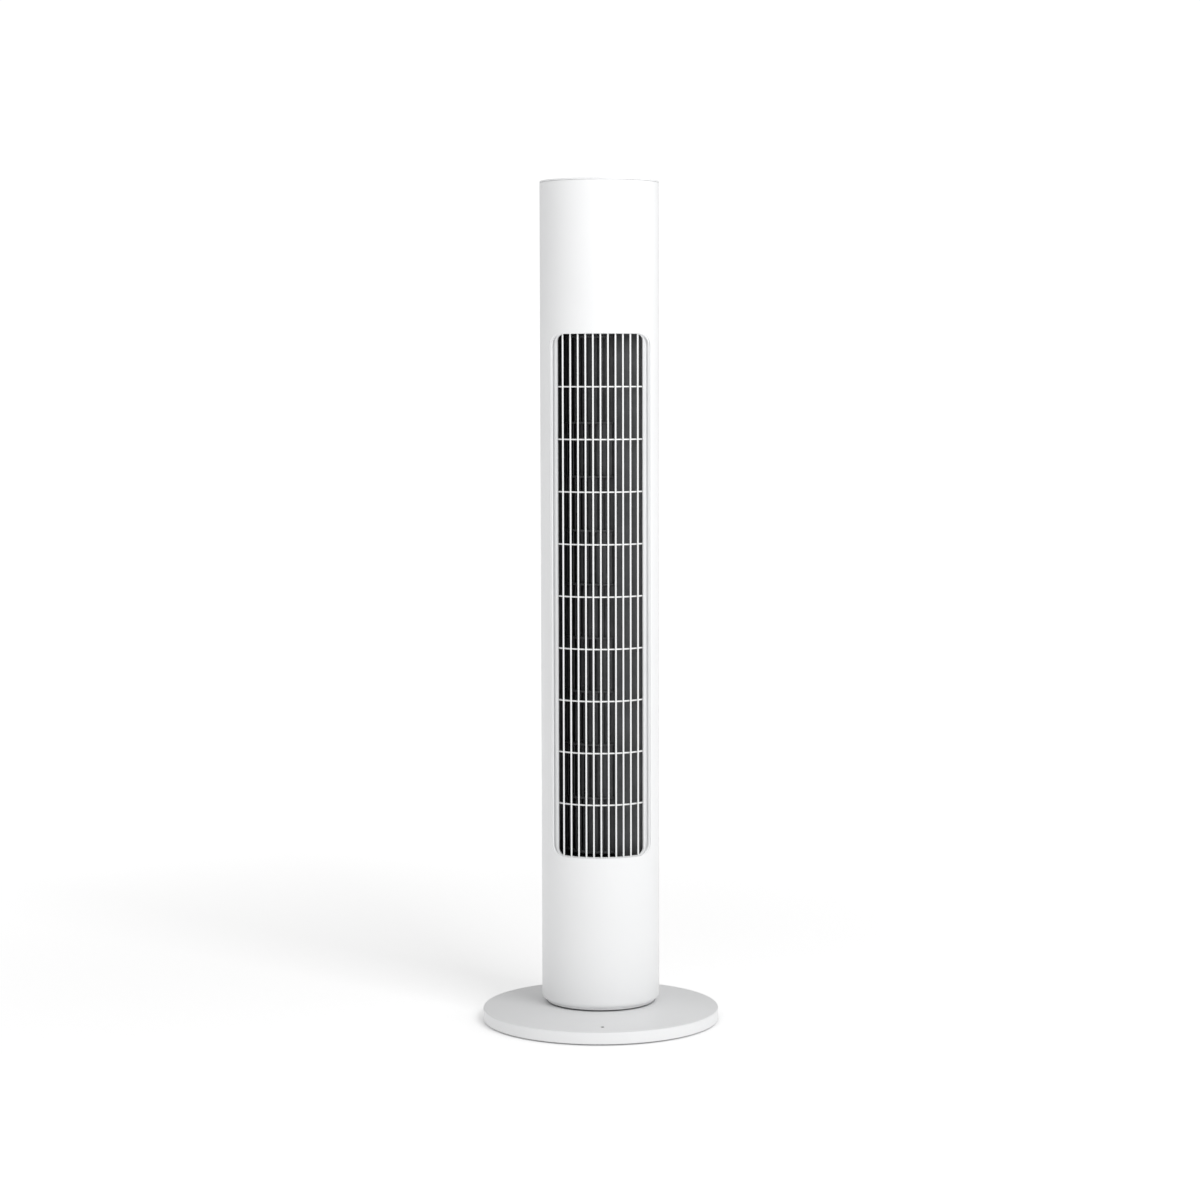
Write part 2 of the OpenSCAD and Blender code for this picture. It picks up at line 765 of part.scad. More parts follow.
module impeller() {
    z0 = impeller_z0 + end_plate_t;
    r_in = impeller_r - blade_depth - 3;
    color(dark) difference() {
        union() {
            translate([0, 0, impeller_z0]) cylinder(r = impeller_r, h = end_plate_t);
            translate([0, 0, impeller_z0]) cylinder(r = 10, h = 16);
            translate([0, 0, impeller_z1 - end_plate_t]) cylinder(r = impeller_r, h = end_plate_t);
            translate([0, 0, impeller_z1 - 12]) cylinder(r = 8, h = 12);
            for (s = [1:full_segments]) ring(r_in, impeller_r, z0 + s * segment_h - disc_t / 2, disc_t);
            for (s = [0:full_segments]) blade_row(
                z0 + s * segment_h - 0.5,
                (s == full_segments ? top_segment_h - end_plate_t : segment_h) + 1,
                s % 2 * 180 / blades
            );
        }
        translate([0, 0, impeller_z0 - 1]) cylinder(r = shaft_r, h = 15);
        translate([0, 0, impeller_z1 - 10]) cylinder(r = stub_r, h = 12);
    }
}

module impeller_stub_shaft() {
    z0 = impeller_z1 - 10;
    color(steel) translate([0, 0, z0]) cylinder(r = stub_r, h = ceiling_z + 12.5 - z0);
}

// ---------------------------------------------------------------- fan motor

module motor_can() {
    color(steel) difference() {
        union() {
            translate([0, 0, motor_z0]) cylinder(r = motor_r, h = motor_z1 - motor_z0);
            around(3, motor_ear_r, 30) translate([0, 0, motor_z1 - 2]) cylinder(r = 6, h = 2);
            for (i = [0:2]) rotate([0, 0, 30 + 120 * i]) translate([motor_r - 2, -6, motor_z1 - 2])
                cube([motor_ear_r - motor_r + 2, 12, 2]);
        }
        translate([0, 0, motor_z0 + 3]) cylinder(r = motor_r - 2, h = motor_z1 - motor_z0 - 6);
        translate([0, 0, motor_z0 - 1]) cylinder(r = 8.1, h = motor_z1 - motor_z0 + 2);
        around(3, motor_ear_r, 30) translate([0, 0, motor_z1 - 3]) cylinder(r = 1.7, h = 4);
    }
}

module stator_core() {
    teeth = 9;
    z0 = motor_z0 + 8;
    h = motor_z1 - motor_z0 - 16;
    color(copper) translate([0, 0, z0]) linear_extrude(h) difference() {
        circle(r = motor_r - 2.2);
        circle(r = 19);
        for (i = [0:teeth - 1]) rotate([0, 0, 360 * i / teeth]) translate([23.4, 0]) circle(r = 2.6);
    }
}

module motor_bearings() {
    color(steel) for (z = [motor_z0 + 0.1, motor_z1 - 5.1]) ring(shaft_r + running_gap, 8, z, 5);
}

module motor_grommets() {
    color(rubber_grey) around(3, motor_ear_r, 30)
        ring(1.7, 5.5, motor_z1 + fixed_gap, duct_floor_z - motor_z1 - 2 * fixed_gap);
}

module motor_screws() {
    color(steel) around(3, motor_ear_r, 30) translate([0, 0, duct_floor_top + 0.02])
        screw(1.6, duct_floor_top - motor_z1 + 4, 3.2, 1.8);
}

module rotor_magnet() {
    color(dark) ring(shaft_r, 18.2, motor_z0 + 9, motor_z1 - motor_z0 - 18);
}

module motor_shaft() {
    color(steel) translate([0, 0, motor_z0 - 2]) cylinder(r = shaft_r, h = impeller_z0 + 14 - motor_z0 + 2);
}

// ---------------------------------------------------------------- electronics

chassis_z = 84;
board_y = 40;

module chassis() {
    color(dark) difference() {
        union() {
            translate([0, 0, chassis_z]) cylinder(r = shell_in - 6.2, h = 2.5);
            around(3, post_ring_r, 30) translate([0, 0, plate_z + post_split + fixed_gap])
                cylinder(r = 4, h = chassis_z - plate_z - post_split + 1);
            around(3, post_ring_r, 30) translate([0, 0, plate_z + 4]) cylinder(r = 1.5, h = post_split);
            for (s = [-1, 1], x = [-1, 1]) translate([x * 40 - 2, s * (board_y + 2.3) - 1.5, chassis_z + 1])
                cube([4, 3, 70]);
        }
        translate([0, 0, chassis_z - 1]) cylinder(r = 12, h = 5);
        translate([-14, 31, chassis_z - 1]) cylinder(r = 4, h = 5);
    }
}

// A bare board 84 mm wide that stands on the chassis in the plane y = 0, with its parts on the -Y side.
module circuit_board(h) {
    translate([-42, 0, 0]) cube([84, 1.6, h]);
}

module main_board() {
    color(board_green) translate([0, board_y - 1, chassis_z + 2.6]) union() {
        circuit_board(64);
        translate([-14, -2, 30]) cube([12, 2.2, 12]);
        translate([6, -1.6, 34]) cube([7, 1.8, 7]);
        translate([22, -9, 8]) cube([12, 9.2, 20]);
        for (x = [-34, -24]) translate([x, -11, 14]) rotate([-90, 0, 0]) cylinder(r = 4, h = 11.2);
        for (x = [-36, -22, -8, 6]) translate([x, -6, 52]) cube([10, 6.2, 7]);
        translate([24, -5, 38]) cube([14, 5.2, 18]);
    }
}

module power_board() {
    color(board_green) translate([0, -board_y + 1, chassis_z + 2.6]) mirror([0, 1, 0]) union() {
        circuit_board(64);
        translate([-12, -19, 22]) cube([24, 19.2, 22]);
        for (z = [14, 30]) translate([28, -15, z]) rotate([-90, 0, 0]) cylinder(r = 6.5, h = 15.2);
        translate([-36, -11, 12]) cube([13, 11.2, 11]);
        translate([-37, -5, 30]) cube([14, 5.2, 22]);
        translate([-10, -8, 50]) cube([20, 8.2, 9]);
    }
}

// The lead in the column: from the top of the pivot tube to the power board.
column_route = [
    [0, 0, 61.5], [0, 0, 66], [0, -0.4, 70], [0, -1.2, 75], [0, -2.2, 81], [0, -3.4, 88], [-1, -5.4, 95],
    [-3, -8.4, 101], [-7, -12, 106], [-13, -15.6, 109], [-19.5, -18.6, 109.6], [-24.6, -20.6, 108.6],
    [-28.2, -22.2, 107.2], [-30, -24.8, 106], [-30, -27.8, 106]
];

module column_lead() {
    color(black) routed_tube(column_route, 2.4, 10, [1, -0.9, 0.9]);
}

// Leads between the boards and the motors, each ending at its connector.
motor_route = [
    [14, 20, 159.8], [14, 20, 157.6], [13.6, 21.6, 153.4], [12.6, 24.6, 148.6], [11.6, 28, 144.4],
    [11, 30.8, 142.4], [11, 32.8, 142.4]
];
swing_route = [
    [-14, 32, 78.2], [-14, 32, 80.6], [-14, 31, 85], [-15, 30, 91], [-16, 29.4, 100], [-16.5, 29, 112],
    [-17, 28.2, 124], [-17, 27.8, 133], [-17, 28.6, 138.4], [-17, 30.6, 141.6], [-17, 32.8, 141.6]
];
board_route = [
    [4, -30.8, 141], [4, -28.8, 141], [7, -25, 142.2], [11, -20, 143.6], [18, -10, 145], [24, 3, 145],
    [28, 15, 143.4], [30, 24, 139.6], [30.8, 29, 136], [31, 31.6, 134], [31, 33.8, 134]
];

module wiring_harness() {
    color(rubber_grey) {
        routed_tube(motor_route, 1.7, 8, [1, 0, 0]);
        routed_tube(swing_route, 1.5, 8, [1, 0, 0]);
        routed_tube(board_route, 1.7, 8, [0, 0, 1]);
    }
}

// The flat ribbon from the main board up the dead space beside the scroll to the control board.
module control_ribbon() {
    z0 = 141;
    t = 0.8;
    w = 6;
    end_y = board_y - 7.1;
    color(rubber_grey) union() {
        translate([ribbon_x, -w / 2, z0]) cube([t, w, board_z - 2 - z0]);
        translate([ribbon_x, -w / 2, board_z - 2 - t]) cube([-46.1 - ribbon_x, w, t]);
        translate([ribbon_x, -w / 2, z0]) cube([w, end_y + w / 2, t]);
        translate([ribbon_x, end_y - w, z0]) cube([-28 - ribbon_x, w, t]);
    }
}

module swing_motor() {
    color(steel) difference() {
        union() {
            translate([0, pinion_y, swing_motor_z]) cylinder(r = swing_motor_r, h = swing_motor_h);
            translate([-ear_x, pinion_y - 4.5, swing_motor_z]) cube([2 * ear_x, 9, 1.2]);
            for (s = [-1, 1]) translate([s * ear_x, pinion_y, swing_motor_z]) cylinder(r = 4.5, h = 1.2);
        }
        translate([0, pinion_y, swing_motor_z - 1]) cylinder(r = 2.5 + running_gap, h = 9);
        for (s = [-1, 1]) translate([s * ear_x, pinion_y, swing_motor_z - 1]) cylinder(r = 1.7, h = 4);
    }
}

module swing_motor_screws() {
    color(steel) for (s = [-1, 1]) translate([s * ear_x, pinion_y, swing_motor_z + 1.22])
        screw(1.25, 9, 2.8, 1.6);
}

module swing_pinion() {
    color(pom) translate([0, pinion_y, gear_z + 0.1]) union() {
        rotate([0, 0, 90 + 180 / pinion_teeth]) linear_extrude(gear_h - 0.2)
            polygon(gear_profile(pinion_teeth));
        cylinder(r = 5, h = gear_h + 1.8);
        cylinder(r = 2.5, h = gear_h + 10);
    }
}

// ---------------------------------------------------------------- top and controls

module top_cover() {
    color(white) rotate_extrude() polygon([
        [58, total_h - 6],
        [70.5, total_h - 6],
        [70.5, total_h - 18],
        [inner_r, total_h - 18],
        [inner_r, cover_z0],
        [column_r, cover_z0],
        [column_r, total_h - 1.2],
        [column_r - 0.4, total_h - 0.4],
        [column_r - 1.2, total_h],
        [panel_r + 0.8, total_h],
        [panel_r + 0.2, total_h - 0.6],
        [panel_r + 0.2, panel_top - panel_t - 0.1],
        [58, panel_top - panel_t - 0.1]
    ]);
}

module control_panel() {
    color(white) difference() {
        union() {
            translate([0, 0, panel_top - panel_t]) cylinder(r = panel_r, h = panel_t);
            for (x = [-45, 45], y = [-30, 15]) translate([x, y, board_z + 1.7])
                cylinder(r = 3, h = panel_top - panel_t - board_z - 1.6);
        }
        for (i = [0:3]) translate([(i - 1.5) * key_pitch, key_y, panel_top - panel_t - 1])
            cylinder(r = key_r + moving_gap, h = panel_t + 2);
        translate([-window_half_w, window_y0, panel_top - panel_t - 1])
            cube([2 * window_half_w, window_y1 - window_y0, panel_t + 2]);
    }
}

module display_window() {
    color(black) translate([-window_half_w + fixed_gap, window_y0 + fixed_gap, panel_top - 2])
        cube([2 * (window_half_w - fixed_gap), window_y1 - window_y0 - 2 * fixed_gap, 2]);
}

module control_board() {
    color(board_green) union() {
        translate([-52, -36, board_z]) cube([104, 56, 1.6]);
        for (i = [0:3]) translate([(i - 1.5) * key_pitch, key_y, board_z + 1.5]) {
            translate([-3, -3, 0]) cube([6, 6, 3.6]);
            cylinder(r = 1.75, h = 5.1);
        }
        for (i = [0:9]) translate([(i - 4.5) * 5.6 - 1, 6, board_z + 1.5]) cube([2, 2, 1.2]);
        translate([-46, -4, board_z - 3]) cube([6, 8, 3.1]);
    }
}

// A key: cap, retaining flange and stem, sprung up against the underside of the panel.
module key(i) {
    color(white) translate([(i - 1.5) * key_pitch, key_y, 0]) union() {
        translate([0, 0, total_h - 4.6]) cylinder(r = key_r - 0.6, h = 4.2);
        translate([0, 0, total_h - 4.6]) cylinder(r = key_r, h = 3.8);
        translate([0, 0, total_h - 5.3]) cylinder(r = key_r + 1.4, h = 1.4);
        translate([0, 0, total_h - 8]) cylinder(r = 1.6, h = 3);
    }
}

// ---------------------------------------------------------------- what is drawn

base_cover();
base_plate();
counterweight();
rubber_feet();
base_screws();
swivel_hub();
hub_screws();
lower_race();
fixed_gear();
retaining_clip();
power_inlet();
inlet_pins();
base_lead();
front_index_dot();
ball_cage();
bearing_balls();
turntable_plate();
upper_race();
bottom_trim_ring();
front_housing();
rear_housing();
front_grille();
rear_grille();
grille_screws();
foot_screws();
housing_screws();
scroll();
stabilizer();
duct_floor();
duct_ceiling();
bearing_cup();
bearing_bush();
bearing_cap();
motor_can();
stator_core();
motor_bearings();
motor_grommets();
motor_screws();
chassis();
main_board();
power_board();
column_lead();
wiring_harness();
control_ribbon();
swing_motor();
swing_motor_screws();
top_cover();
control_panel();
display_window();
control_board();
impeller();
impeller_stub_shaft();
rotor_magnet();
motor_shaft();
swing_pinion();
for (i = [0:3]) key(i);
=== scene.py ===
import json
import math

import bmesh
import bpy
from mathutils import Matrix, Vector


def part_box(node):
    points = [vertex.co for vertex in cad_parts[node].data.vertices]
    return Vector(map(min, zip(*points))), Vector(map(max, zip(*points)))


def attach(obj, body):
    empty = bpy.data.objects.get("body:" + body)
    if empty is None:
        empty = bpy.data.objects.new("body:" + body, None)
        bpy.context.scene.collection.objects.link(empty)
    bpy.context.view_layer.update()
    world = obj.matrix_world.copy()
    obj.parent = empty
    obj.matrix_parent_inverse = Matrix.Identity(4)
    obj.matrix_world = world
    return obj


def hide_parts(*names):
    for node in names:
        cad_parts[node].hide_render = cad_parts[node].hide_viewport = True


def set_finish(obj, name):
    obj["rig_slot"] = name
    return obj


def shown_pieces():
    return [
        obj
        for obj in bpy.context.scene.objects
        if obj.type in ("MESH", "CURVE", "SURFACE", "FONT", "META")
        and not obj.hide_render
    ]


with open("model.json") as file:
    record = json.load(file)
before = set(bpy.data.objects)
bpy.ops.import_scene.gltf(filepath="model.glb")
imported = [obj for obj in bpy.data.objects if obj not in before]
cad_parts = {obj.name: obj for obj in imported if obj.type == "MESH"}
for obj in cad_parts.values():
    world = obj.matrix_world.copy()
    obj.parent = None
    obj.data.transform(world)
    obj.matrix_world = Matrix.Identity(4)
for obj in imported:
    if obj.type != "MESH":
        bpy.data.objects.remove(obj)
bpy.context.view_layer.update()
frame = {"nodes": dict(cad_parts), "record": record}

MM = 0.001
nodes = frame["nodes"]

# ---------------------------------------------------------------- sizes taken from the frame

column_lo, column_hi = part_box("front_housing")
R = column_hi.x / MM
shell_z0, shell_z1 = column_lo.z / MM, column_hi.z / MM
frame_lo, frame_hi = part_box("front_grille")
frame_lip = 4.4
open_z0, open_z1 = frame_lo.z / MM + frame_lip, frame_hi.z / MM - frame_lip
open_half, open_corner = 54.4, 8.5
front_half_angle = 91.85
shell_t = 2.5
foot_round, edge_round = 6.0, 0.3
skin_t, surround = 2.2, 12.0

grille_r = R - 4.0
bar_count, bar_pitch, bar_w, bar_depth = 11, 9.45, 2.15, 7.2
rows, hoop_t = 10, 1.8
hoop_r0, hoop_r1 = R - 9.5, R - 6.8
row_h = (open_z1 - open_z0) / rows

imp_lo, imp_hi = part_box("impeller")
imp_r = imp_hi.x / MM
imp_z0, imp_z1 = imp_lo.z / MM, imp_hi.z / MM
blade_count, segments, segment_h, plate_t, disc_t = 36, 9, 68.4, 3.0, 2.4
blade_depth = 10.0

base_lo, base_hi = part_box("base_cover")
base_r = base_hi.x / MM
base_z0, neck_z = base_lo.z / MM, base_hi.z / MM
rim_z = 17.0
neck_r, well_r = 74.5, 70.0

top_lo, top_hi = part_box("top_cover")
top_z = top_hi.z / MM
key_nodes = ("key_power", "key_swing", "key_speed", "key_timer")
key_r, panel_t = 7.0, 2.4
axis_r = 0.02

rear_half, rear_corner, slat_count = 68.0, 1.0, 33
lug_heights = (117.0, 207.4, 902.6, 1037.0)
screw_places = [(a, z) for z in lug_heights for a in (-80, 80)]

# ---------------------------------------------------------------- mesh helpers, in millimetres


class Parts:
    """Vertices and faces of a piece that is made of several closed bodies."""

    def __init__(self):
        self.verts, self.faces = [], []

    def add(self, verts, faces):
        base = len(self.verts)
        self.verts += [tuple(v) for v in verts]
        self.faces += [[i + base for i in f] for f in faces]

    def build(self, name, sharp=32.0, weld=0.0):
        mesh = bpy.data.meshes.new(name)
        mesh.from_pydata([Vector(v) * MM for v in self.verts], [], self.faces)
        bm = bmesh.new()
        bm.from_mesh(mesh)
        if weld:
            bmesh.ops.remove_doubles(bm, verts=bm.verts, dist=weld * MM)
        bmesh.ops.recalc_face_normals(bm, faces=bm.faces)
        bm.to_mesh(mesh)
        bm.free()
        mesh.polygons.foreach_set("use_smooth", [True] * len(mesh.polygons))
        mesh.set_sharp_from_angle(angle=math.radians(sharp))
        obj = bpy.data.objects.new(name, mesh)
        bpy.context.scene.collection.objects.link(obj)
        return obj


def arc(cx, cy, r, a0, a1, n):
    return [(cx + r * math.cos(math.radians(a0 + (a1 - a0) * i / n)),
             cy + r * math.sin(math.radians(a0 + (a1 - a0) * i / n))) for i in range(n + 1)]


def rounded(points, radius, steps=4):
    """A closed outline with each corner turned into a small arc. radius is one number or one per corner."""
    out, n = [], len(points)
    for i, p in enumerate(points):
        r = radius[i] if isinstance(radius, (list, tuple)) else radius
        p, a, b = Vector(p), Vector(points[i - 1]), Vector(points[(i + 1) % n])
        u, v = (a - p), (b - p)
        half = u.angle(v) / 2
        reach = min(r / math.tan(half), u.length * 0.45, v.length * 0.45) if r else 0
        if reach < 1e-4 or half > math.radians(88):
            out.append(tuple(p))
            continue
        start, end = p + u.normalized() * reach, p + v.normalized() * reach
        for k in range(steps + 1):
            t = k / steps
            q = (1 - t) ** 2 * start + 2 * t * (1 - t) * p + t * t * end
            out.append(tuple(q))
    return out


def lathe(parts, profile, steps=192, a0=0.0, a1=360.0):
    """A closed profile of (radius, height) turned about Z."""
    full = abs(a1 - a0) >= 360
    turns = steps if full else steps + 1
    n = len(profile)
    verts = []
    for s in range(turns):
        a = math.radians(a0 + (a1 - a0) * s / steps)
        verts += [(r * math.cos(a), r * math.sin(a), z) for r, z in profile]
    faces = []
    for s in range(steps):
        t = (s + 1) % turns
        faces += [(s * n + i, t * n + i, t * n + (i + 1) % n, s * n + (i + 1) % n) for i in range(n)]
    if not full:
        faces += [list(range(n)), [steps * n + i for i in reversed(range(n))]]
    parts.add(verts, faces)


def prism(parts, outline, z0, z1):
    n = len(outline)
    verts = [(x, y, z0) for x, y in outline] + [(x, y, z1) for x, y in outline]
    faces = [(i, (i + 1) % n, n + (i + 1) % n, n + i) for i in range(n)]
    faces += [list(reversed(range(n))), list(range(n, 2 * n))]
    parts.add(verts, faces)


def turned(outline, degrees):
    c, s = math.cos(math.radians(degrees)), math.sin(math.radians(degrees))
    return [(c * x - s * y, s * x + c * y) for x, y in outline]


def on_column(angle, z, r):
    """A point of the column, with the angle in degrees from the front."""
    return (r * math.sin(math.radians(angle)), -r * math.cos(math.radians(angle)), z)


def place(obj, body, slot, *replaced):
    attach(obj, body)
    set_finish(obj, slot)
    if replaced:
        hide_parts(*replaced)
    return obj


# ---------------------------------------------------------------- materials


class Paint:
    """A material built up from a Principled shader, noise in the object's own space, and a bump."""

    def __init__(self, name, colour, roughness, metallic=0.0, **sockets):
        self.material = bpy.data.materials.new(name)
        self.material.use_nodes = True
        self.tree = self.material.node_tree
        self.shader = self.tree.nodes["Principled BSDF"]
        self.colour = colour
        self.shader.inputs["Base Color"].default_value = (*colour, 1)
        self.shader.inputs["Roughness"].default_value = roughness
        self.shader.inputs["Metallic"].default_value = metallic
        for key, value in sockets.items():
            self.shader.inputs[key.replace("_", " ")].default_value = value
        self.place = self.tree.nodes.new("ShaderNodeTexCoord")

    def node(self, kind, **settings):
        made = self.tree.nodes.new(kind)
        for key, value in settings.items():
            if key in made.inputs:
                made.inputs[key].default_value = value
            else:
                setattr(made, key, value)
        return made

    def link(self, a, b):
        self.tree.links.new(a, b)

    def noise(self, scale, detail=3.0, roughness=0.5, stretch=(1, 1, 1)):
        """Noise whose scale is in cycles per metre; stretch squeezes it along an axis."""
        mapping = self.node("ShaderNodeMapping")
        mapping.inputs["Scale"].default_value = stretch
        self.link(self.place.outputs["Object"], mapping.inputs["Vector"])
        made = self.node("ShaderNodeTexNoise", Scale=scale, Detail=detail, Roughness=roughness)
        self.link(mapping.outputs["Vector"], made.inputs["Vector"])
        return made.outputs["Fac"]

    def ramp(self, value, low, high, dark, light):
        made = self.node("ShaderNodeValToRGB")
        made.color_ramp.elements[0].position, made.color_ramp.elements[1].position = low, high
        made.color_ramp.elements[0].color = (*dark, 1)
        made.color_ramp.elements[1].color = (*light, 1)
        self.link(value, made.inputs["Fac"])
        return made.outputs["Color"]

    def span(self, value, low, high):
        made = self.node("ShaderNodeMapRange")
        made.inputs["From Min"].default_value, made.inputs["From Max"].default_value = 0.3, 0.7
        made.inputs["To Min"].default_value, made.inputs["To Max"].default_value = low, high
        self.link(value, made.inputs["Value"])
        return made.outputs["Result"]

    def vary_colour(self, value, spread):
        dark = [c * (1 - spread) for c in self.colour]
        light = [min(1.0, c * (1 + spread)) for c in self.colour]
        self.link(self.ramp(value, 0.3, 0.7, dark, light), self.shader.inputs["Base Color"])
        return self

    def vary_roughness(self, value, low, high):
        self.link(self.span(value, low, high), self.shader.inputs["Roughness"])
        return self

    def bump(self, value, distance, strength=1.0):
        made = self.node("ShaderNodeBump", Strength=strength, Distance=distance * MM)
        self.link(value, made.inputs["Height"])
        previous = self.shader.inputs["Normal"].links
        if previous:
            self.link(previous[0].from_socket, made.inputs["Normal"])
        self.link(made.outputs["Normal"], self.shader.inputs["Normal"])
        return self


def moulded_white(name, colour, rough):
    """Satin ABS: an even, very fine spark texture, slow variation in gloss, and faint handling marks."""
    paint = Paint(name, colour, rough, Specular_IOR_Level=0.5)
    paint.vary_colour(paint.noise(9, 4), 0.012)
    paint.vary_roughness(paint.noise(38, 5, 0.62), rough - 0.07, rough + 0.07)
    paint.bump(paint.noise(1500, 2), 0.012, 0.5)
    return paint.material


def moulded_dark(name, colour, rough):
    paint = Paint(name, colour, rough, Specular_IOR_Level=0.42)
    paint.vary_colour(paint.noise(30, 5, 0.6), 0.22)
    paint.vary_roughness(paint.noise(70, 5, 0.6), rough - 0.09, rough + 0.1)
    paint.bump(paint.noise(900, 3), 0.03, 0.6)
    return paint.material


def metal(name, colour, rough, grain=(1, 1, 14)):
    paint = Paint(name, colour, rough, metallic=1.0)
    paint.vary_colour(paint.noise(60, 5, 0.6), 0.08)
    paint.vary_roughness(paint.noise(260, 4, 0.6, grain), rough - 0.08, rough + 0.12)
    paint.bump(paint.noise(520, 3, 0.5, grain), 0.02, 0.5)
    return paint.material


def rubber(name, colour):
    paint = Paint(name, colour, 0.8, Specular_IOR_Level=0.3)
    paint.vary_colour(paint.noise(120, 5, 0.7), 0.25)
    paint.vary_roughness(paint.noise(90, 4, 0.6), 0.68, 0.9)
    paint.bump(paint.noise(1400, 3), 0.05, 0.7)
    return paint.material


def board():
    """Solder mask over copper tracks, which show as a faint raised net."""
    paint = Paint("board_green", (0.02, 0.13, 0.06), 0.42, Specular_IOR_Level=0.5)
    tracks = paint.node("ShaderNodeTexBrick", Scale=170.0, offset=0.37, squash=1.4)
    tracks.inputs["Mortar Size"].default_value = 0.06
    paint.link(paint.place.outputs["Object"], tracks.inputs["Vector"])
    paint.vary_colour(tracks.outputs["Fac"], 0.3)
    paint.bump(tracks.outputs["Fac"], 0.04, 0.5)
    paint.vary_roughness(paint.noise(200, 3), 0.34, 0.5)
    return paint.material


def winding():
    """Enamelled wire: fine turns that run round the core."""
    paint = Paint("copper_winding", (0.5, 0.2, 0.08), 0.38, metallic=0.85)
    turns = paint.node("ShaderNodeTexWave", Scale=620.0, Distortion=0.6, bands_direction="Z")
    paint.link(paint.place.outputs["Object"], turns.inputs["Vector"])
    paint.vary_colour(turns.outputs["Fac"], 0.25)
    paint.bump(turns.outputs["Fac"], 0.12, 0.7)
    return paint.material


def glossy_window():
    paint = Paint("display_gloss", (0.012, 0.012, 0.014), 0.12, Coat_Weight=0.6, Coat_Roughness=0.05)
    paint.vary_roughness(paint.noise(45, 5, 0.7), 0.08, 0.2)
    paint.bump(paint.noise(30, 2), 0.02, 0.3)
    return paint.material


finishes = {
    "white_shell": moulded_white("shell_white", (0.86, 0.865, 0.87), 0.4),
    "white_grille": moulded_white("grille_white", (0.88, 0.885, 0.885), 0.42),
    "white_keys": moulded_white("key_white", (0.83, 0.835, 0.84), 0.34),
    "dark_plastic": moulded_dark("duct_dark", (0.062, 0.063, 0.066), 0.5),
    "steel": metal("plated_steel", (0.56, 0.57, 0.59), 0.3),
    "rubber": rubber("rubber_dark", (0.028, 0.028, 0.029)),
    "pale_plastic": moulded_dark("acetal_cream", (0.78, 0.75, 0.66), 0.45),
    "brass": metal("turned_brass", (0.72, 0.5, 0.2), 0.26),
    "copper_winding": winding(),
    "magnet": metal("sintered_magnet", (0.13, 0.13, 0.14), 0.55, (1, 1, 1)),
    "cable_jacket": rubber("cable_black", (0.02, 0.02, 0.021)),
    "circuit_board": board(),
    "grey_dot": rubber("dot_grey", (0.06, 0.06, 0.062)),
    "display_dark": glossy_window(),
}


def paint_all():
    slots = {s["node"]: s["material_slot"] for s in frame["record"]["subparts"]}
    for name, node in nodes.items():
        node.data.materials.clear()
        node.data.materials.append(finishes[slots[name]])
    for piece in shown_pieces():
        if "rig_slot" in piece and not piece.data.materials:
            piece.data.materials.append(finishes[piece["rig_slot"]])


# ---------------------------------------------------------------- the column's shell


def window_outline(half_w, z0, z1, r, corner=10, across=40):
    """A rounded upright window, anticlockwise from its upper right, always with the same number of points."""
    centres = [(half_w - r, z1 - r), (r - half_w, z1 - r), (r - half_w, z0 + r), (half_w - r, z0 + r)]
    out = []
    for i, (cx, cz) in enumerate(centres):
        bend = arc(cx, cz, r, 90 * i, 90 * i + 90, corner)
        out += bend
        if i % 2 == 0:
            end = bend[-1]
            out += [(end[0] * (1 - 2 * k / across), end[1]) for k in range(1, across)]
    return out


def shell_border(half_angle, z0, z1, inner, corner=10, across=40):
    """The rectangle of the shell that goes with window_outline, point for point, as (angle, z)."""
    reach = half_angle * 0.66
    out = []
    half = corner // 2
    (low, high) = inner
    for i in range(4):
        side = 1 if i in (0, 3) else -1
        top = z1 if i in (0, 1) else z0
        near = high if i in (0, 1) else low
        up = [(side * half_angle, near + (top - near) * k / half) for k in range(half + 1)]
        along = [(side * (half_angle + (reach - half_angle) * k / half), top) for k in range(1, half + 1)]
        run = up + along
        if i % 2:
            run = list(reversed(run))
        out += run
        if i % 2 == 0:
            end = run[-1]
            out += [(end[0] * (1 - 2 * k / across), end[1]) for k in range(1, across)]
    return out


def stitch(parts, loops):
    """Quads between successive closed loops of equal length."""
    n = len(loops[0])
    faces = []
    for k in range(len(loops) - 1):
        low, high = k * n, (k + 1) * n
        faces += [(low + i, low + (i + 1) % n, high + (i + 1) % n, high + i) for i in range(n)]
    parts.add([p for loop in loops for p in loop], faces)


def bands(parts, angles, levels):
    """Quads of the plain shell above or below the window; levels are (z, radius)."""
    n = len(angles)
    faces = []
    for k in range(len(levels) - 1):
        faces += [(k * n + i, k * n + i + 1, (k + 1) * n + i + 1, (k + 1) * n + i) for i in range(n - 1)]
    parts.add([on_column(a, z, r) for z, r in levels for a in angles], faces)


def shell_head(z_start):
    """The levels from the window's surround up to the shell's softened top edge."""
    return [(z_start, R), (shell_z1 - edge_round, R), (shell_z1, R - edge_round)]


def shell_foot(z_start):
    """The levels down to the lower edge, which is rounded in, and the start of the flange under it."""
    curve = [(shell_z0 + foot_round * (1 - math.sin(math.radians(a))),
              R - foot_round * (1 - math.cos(math.radians(a)))) for a in (0, 12, 24, 36, 48, 60, 72, 84, 90)]
    return [(z_start, R)] + curve + [(shell_z0, R - foot_round - 0.35)]


def thicken(obj, thickness):
    solid = obj.modifiers.new("wall", "SOLIDIFY")
    solid.thickness = thickness * MM
    solid.offset = -1
    solid.use_even_offset = True
    solid.use_rim = True
    apply_modifiers(obj)


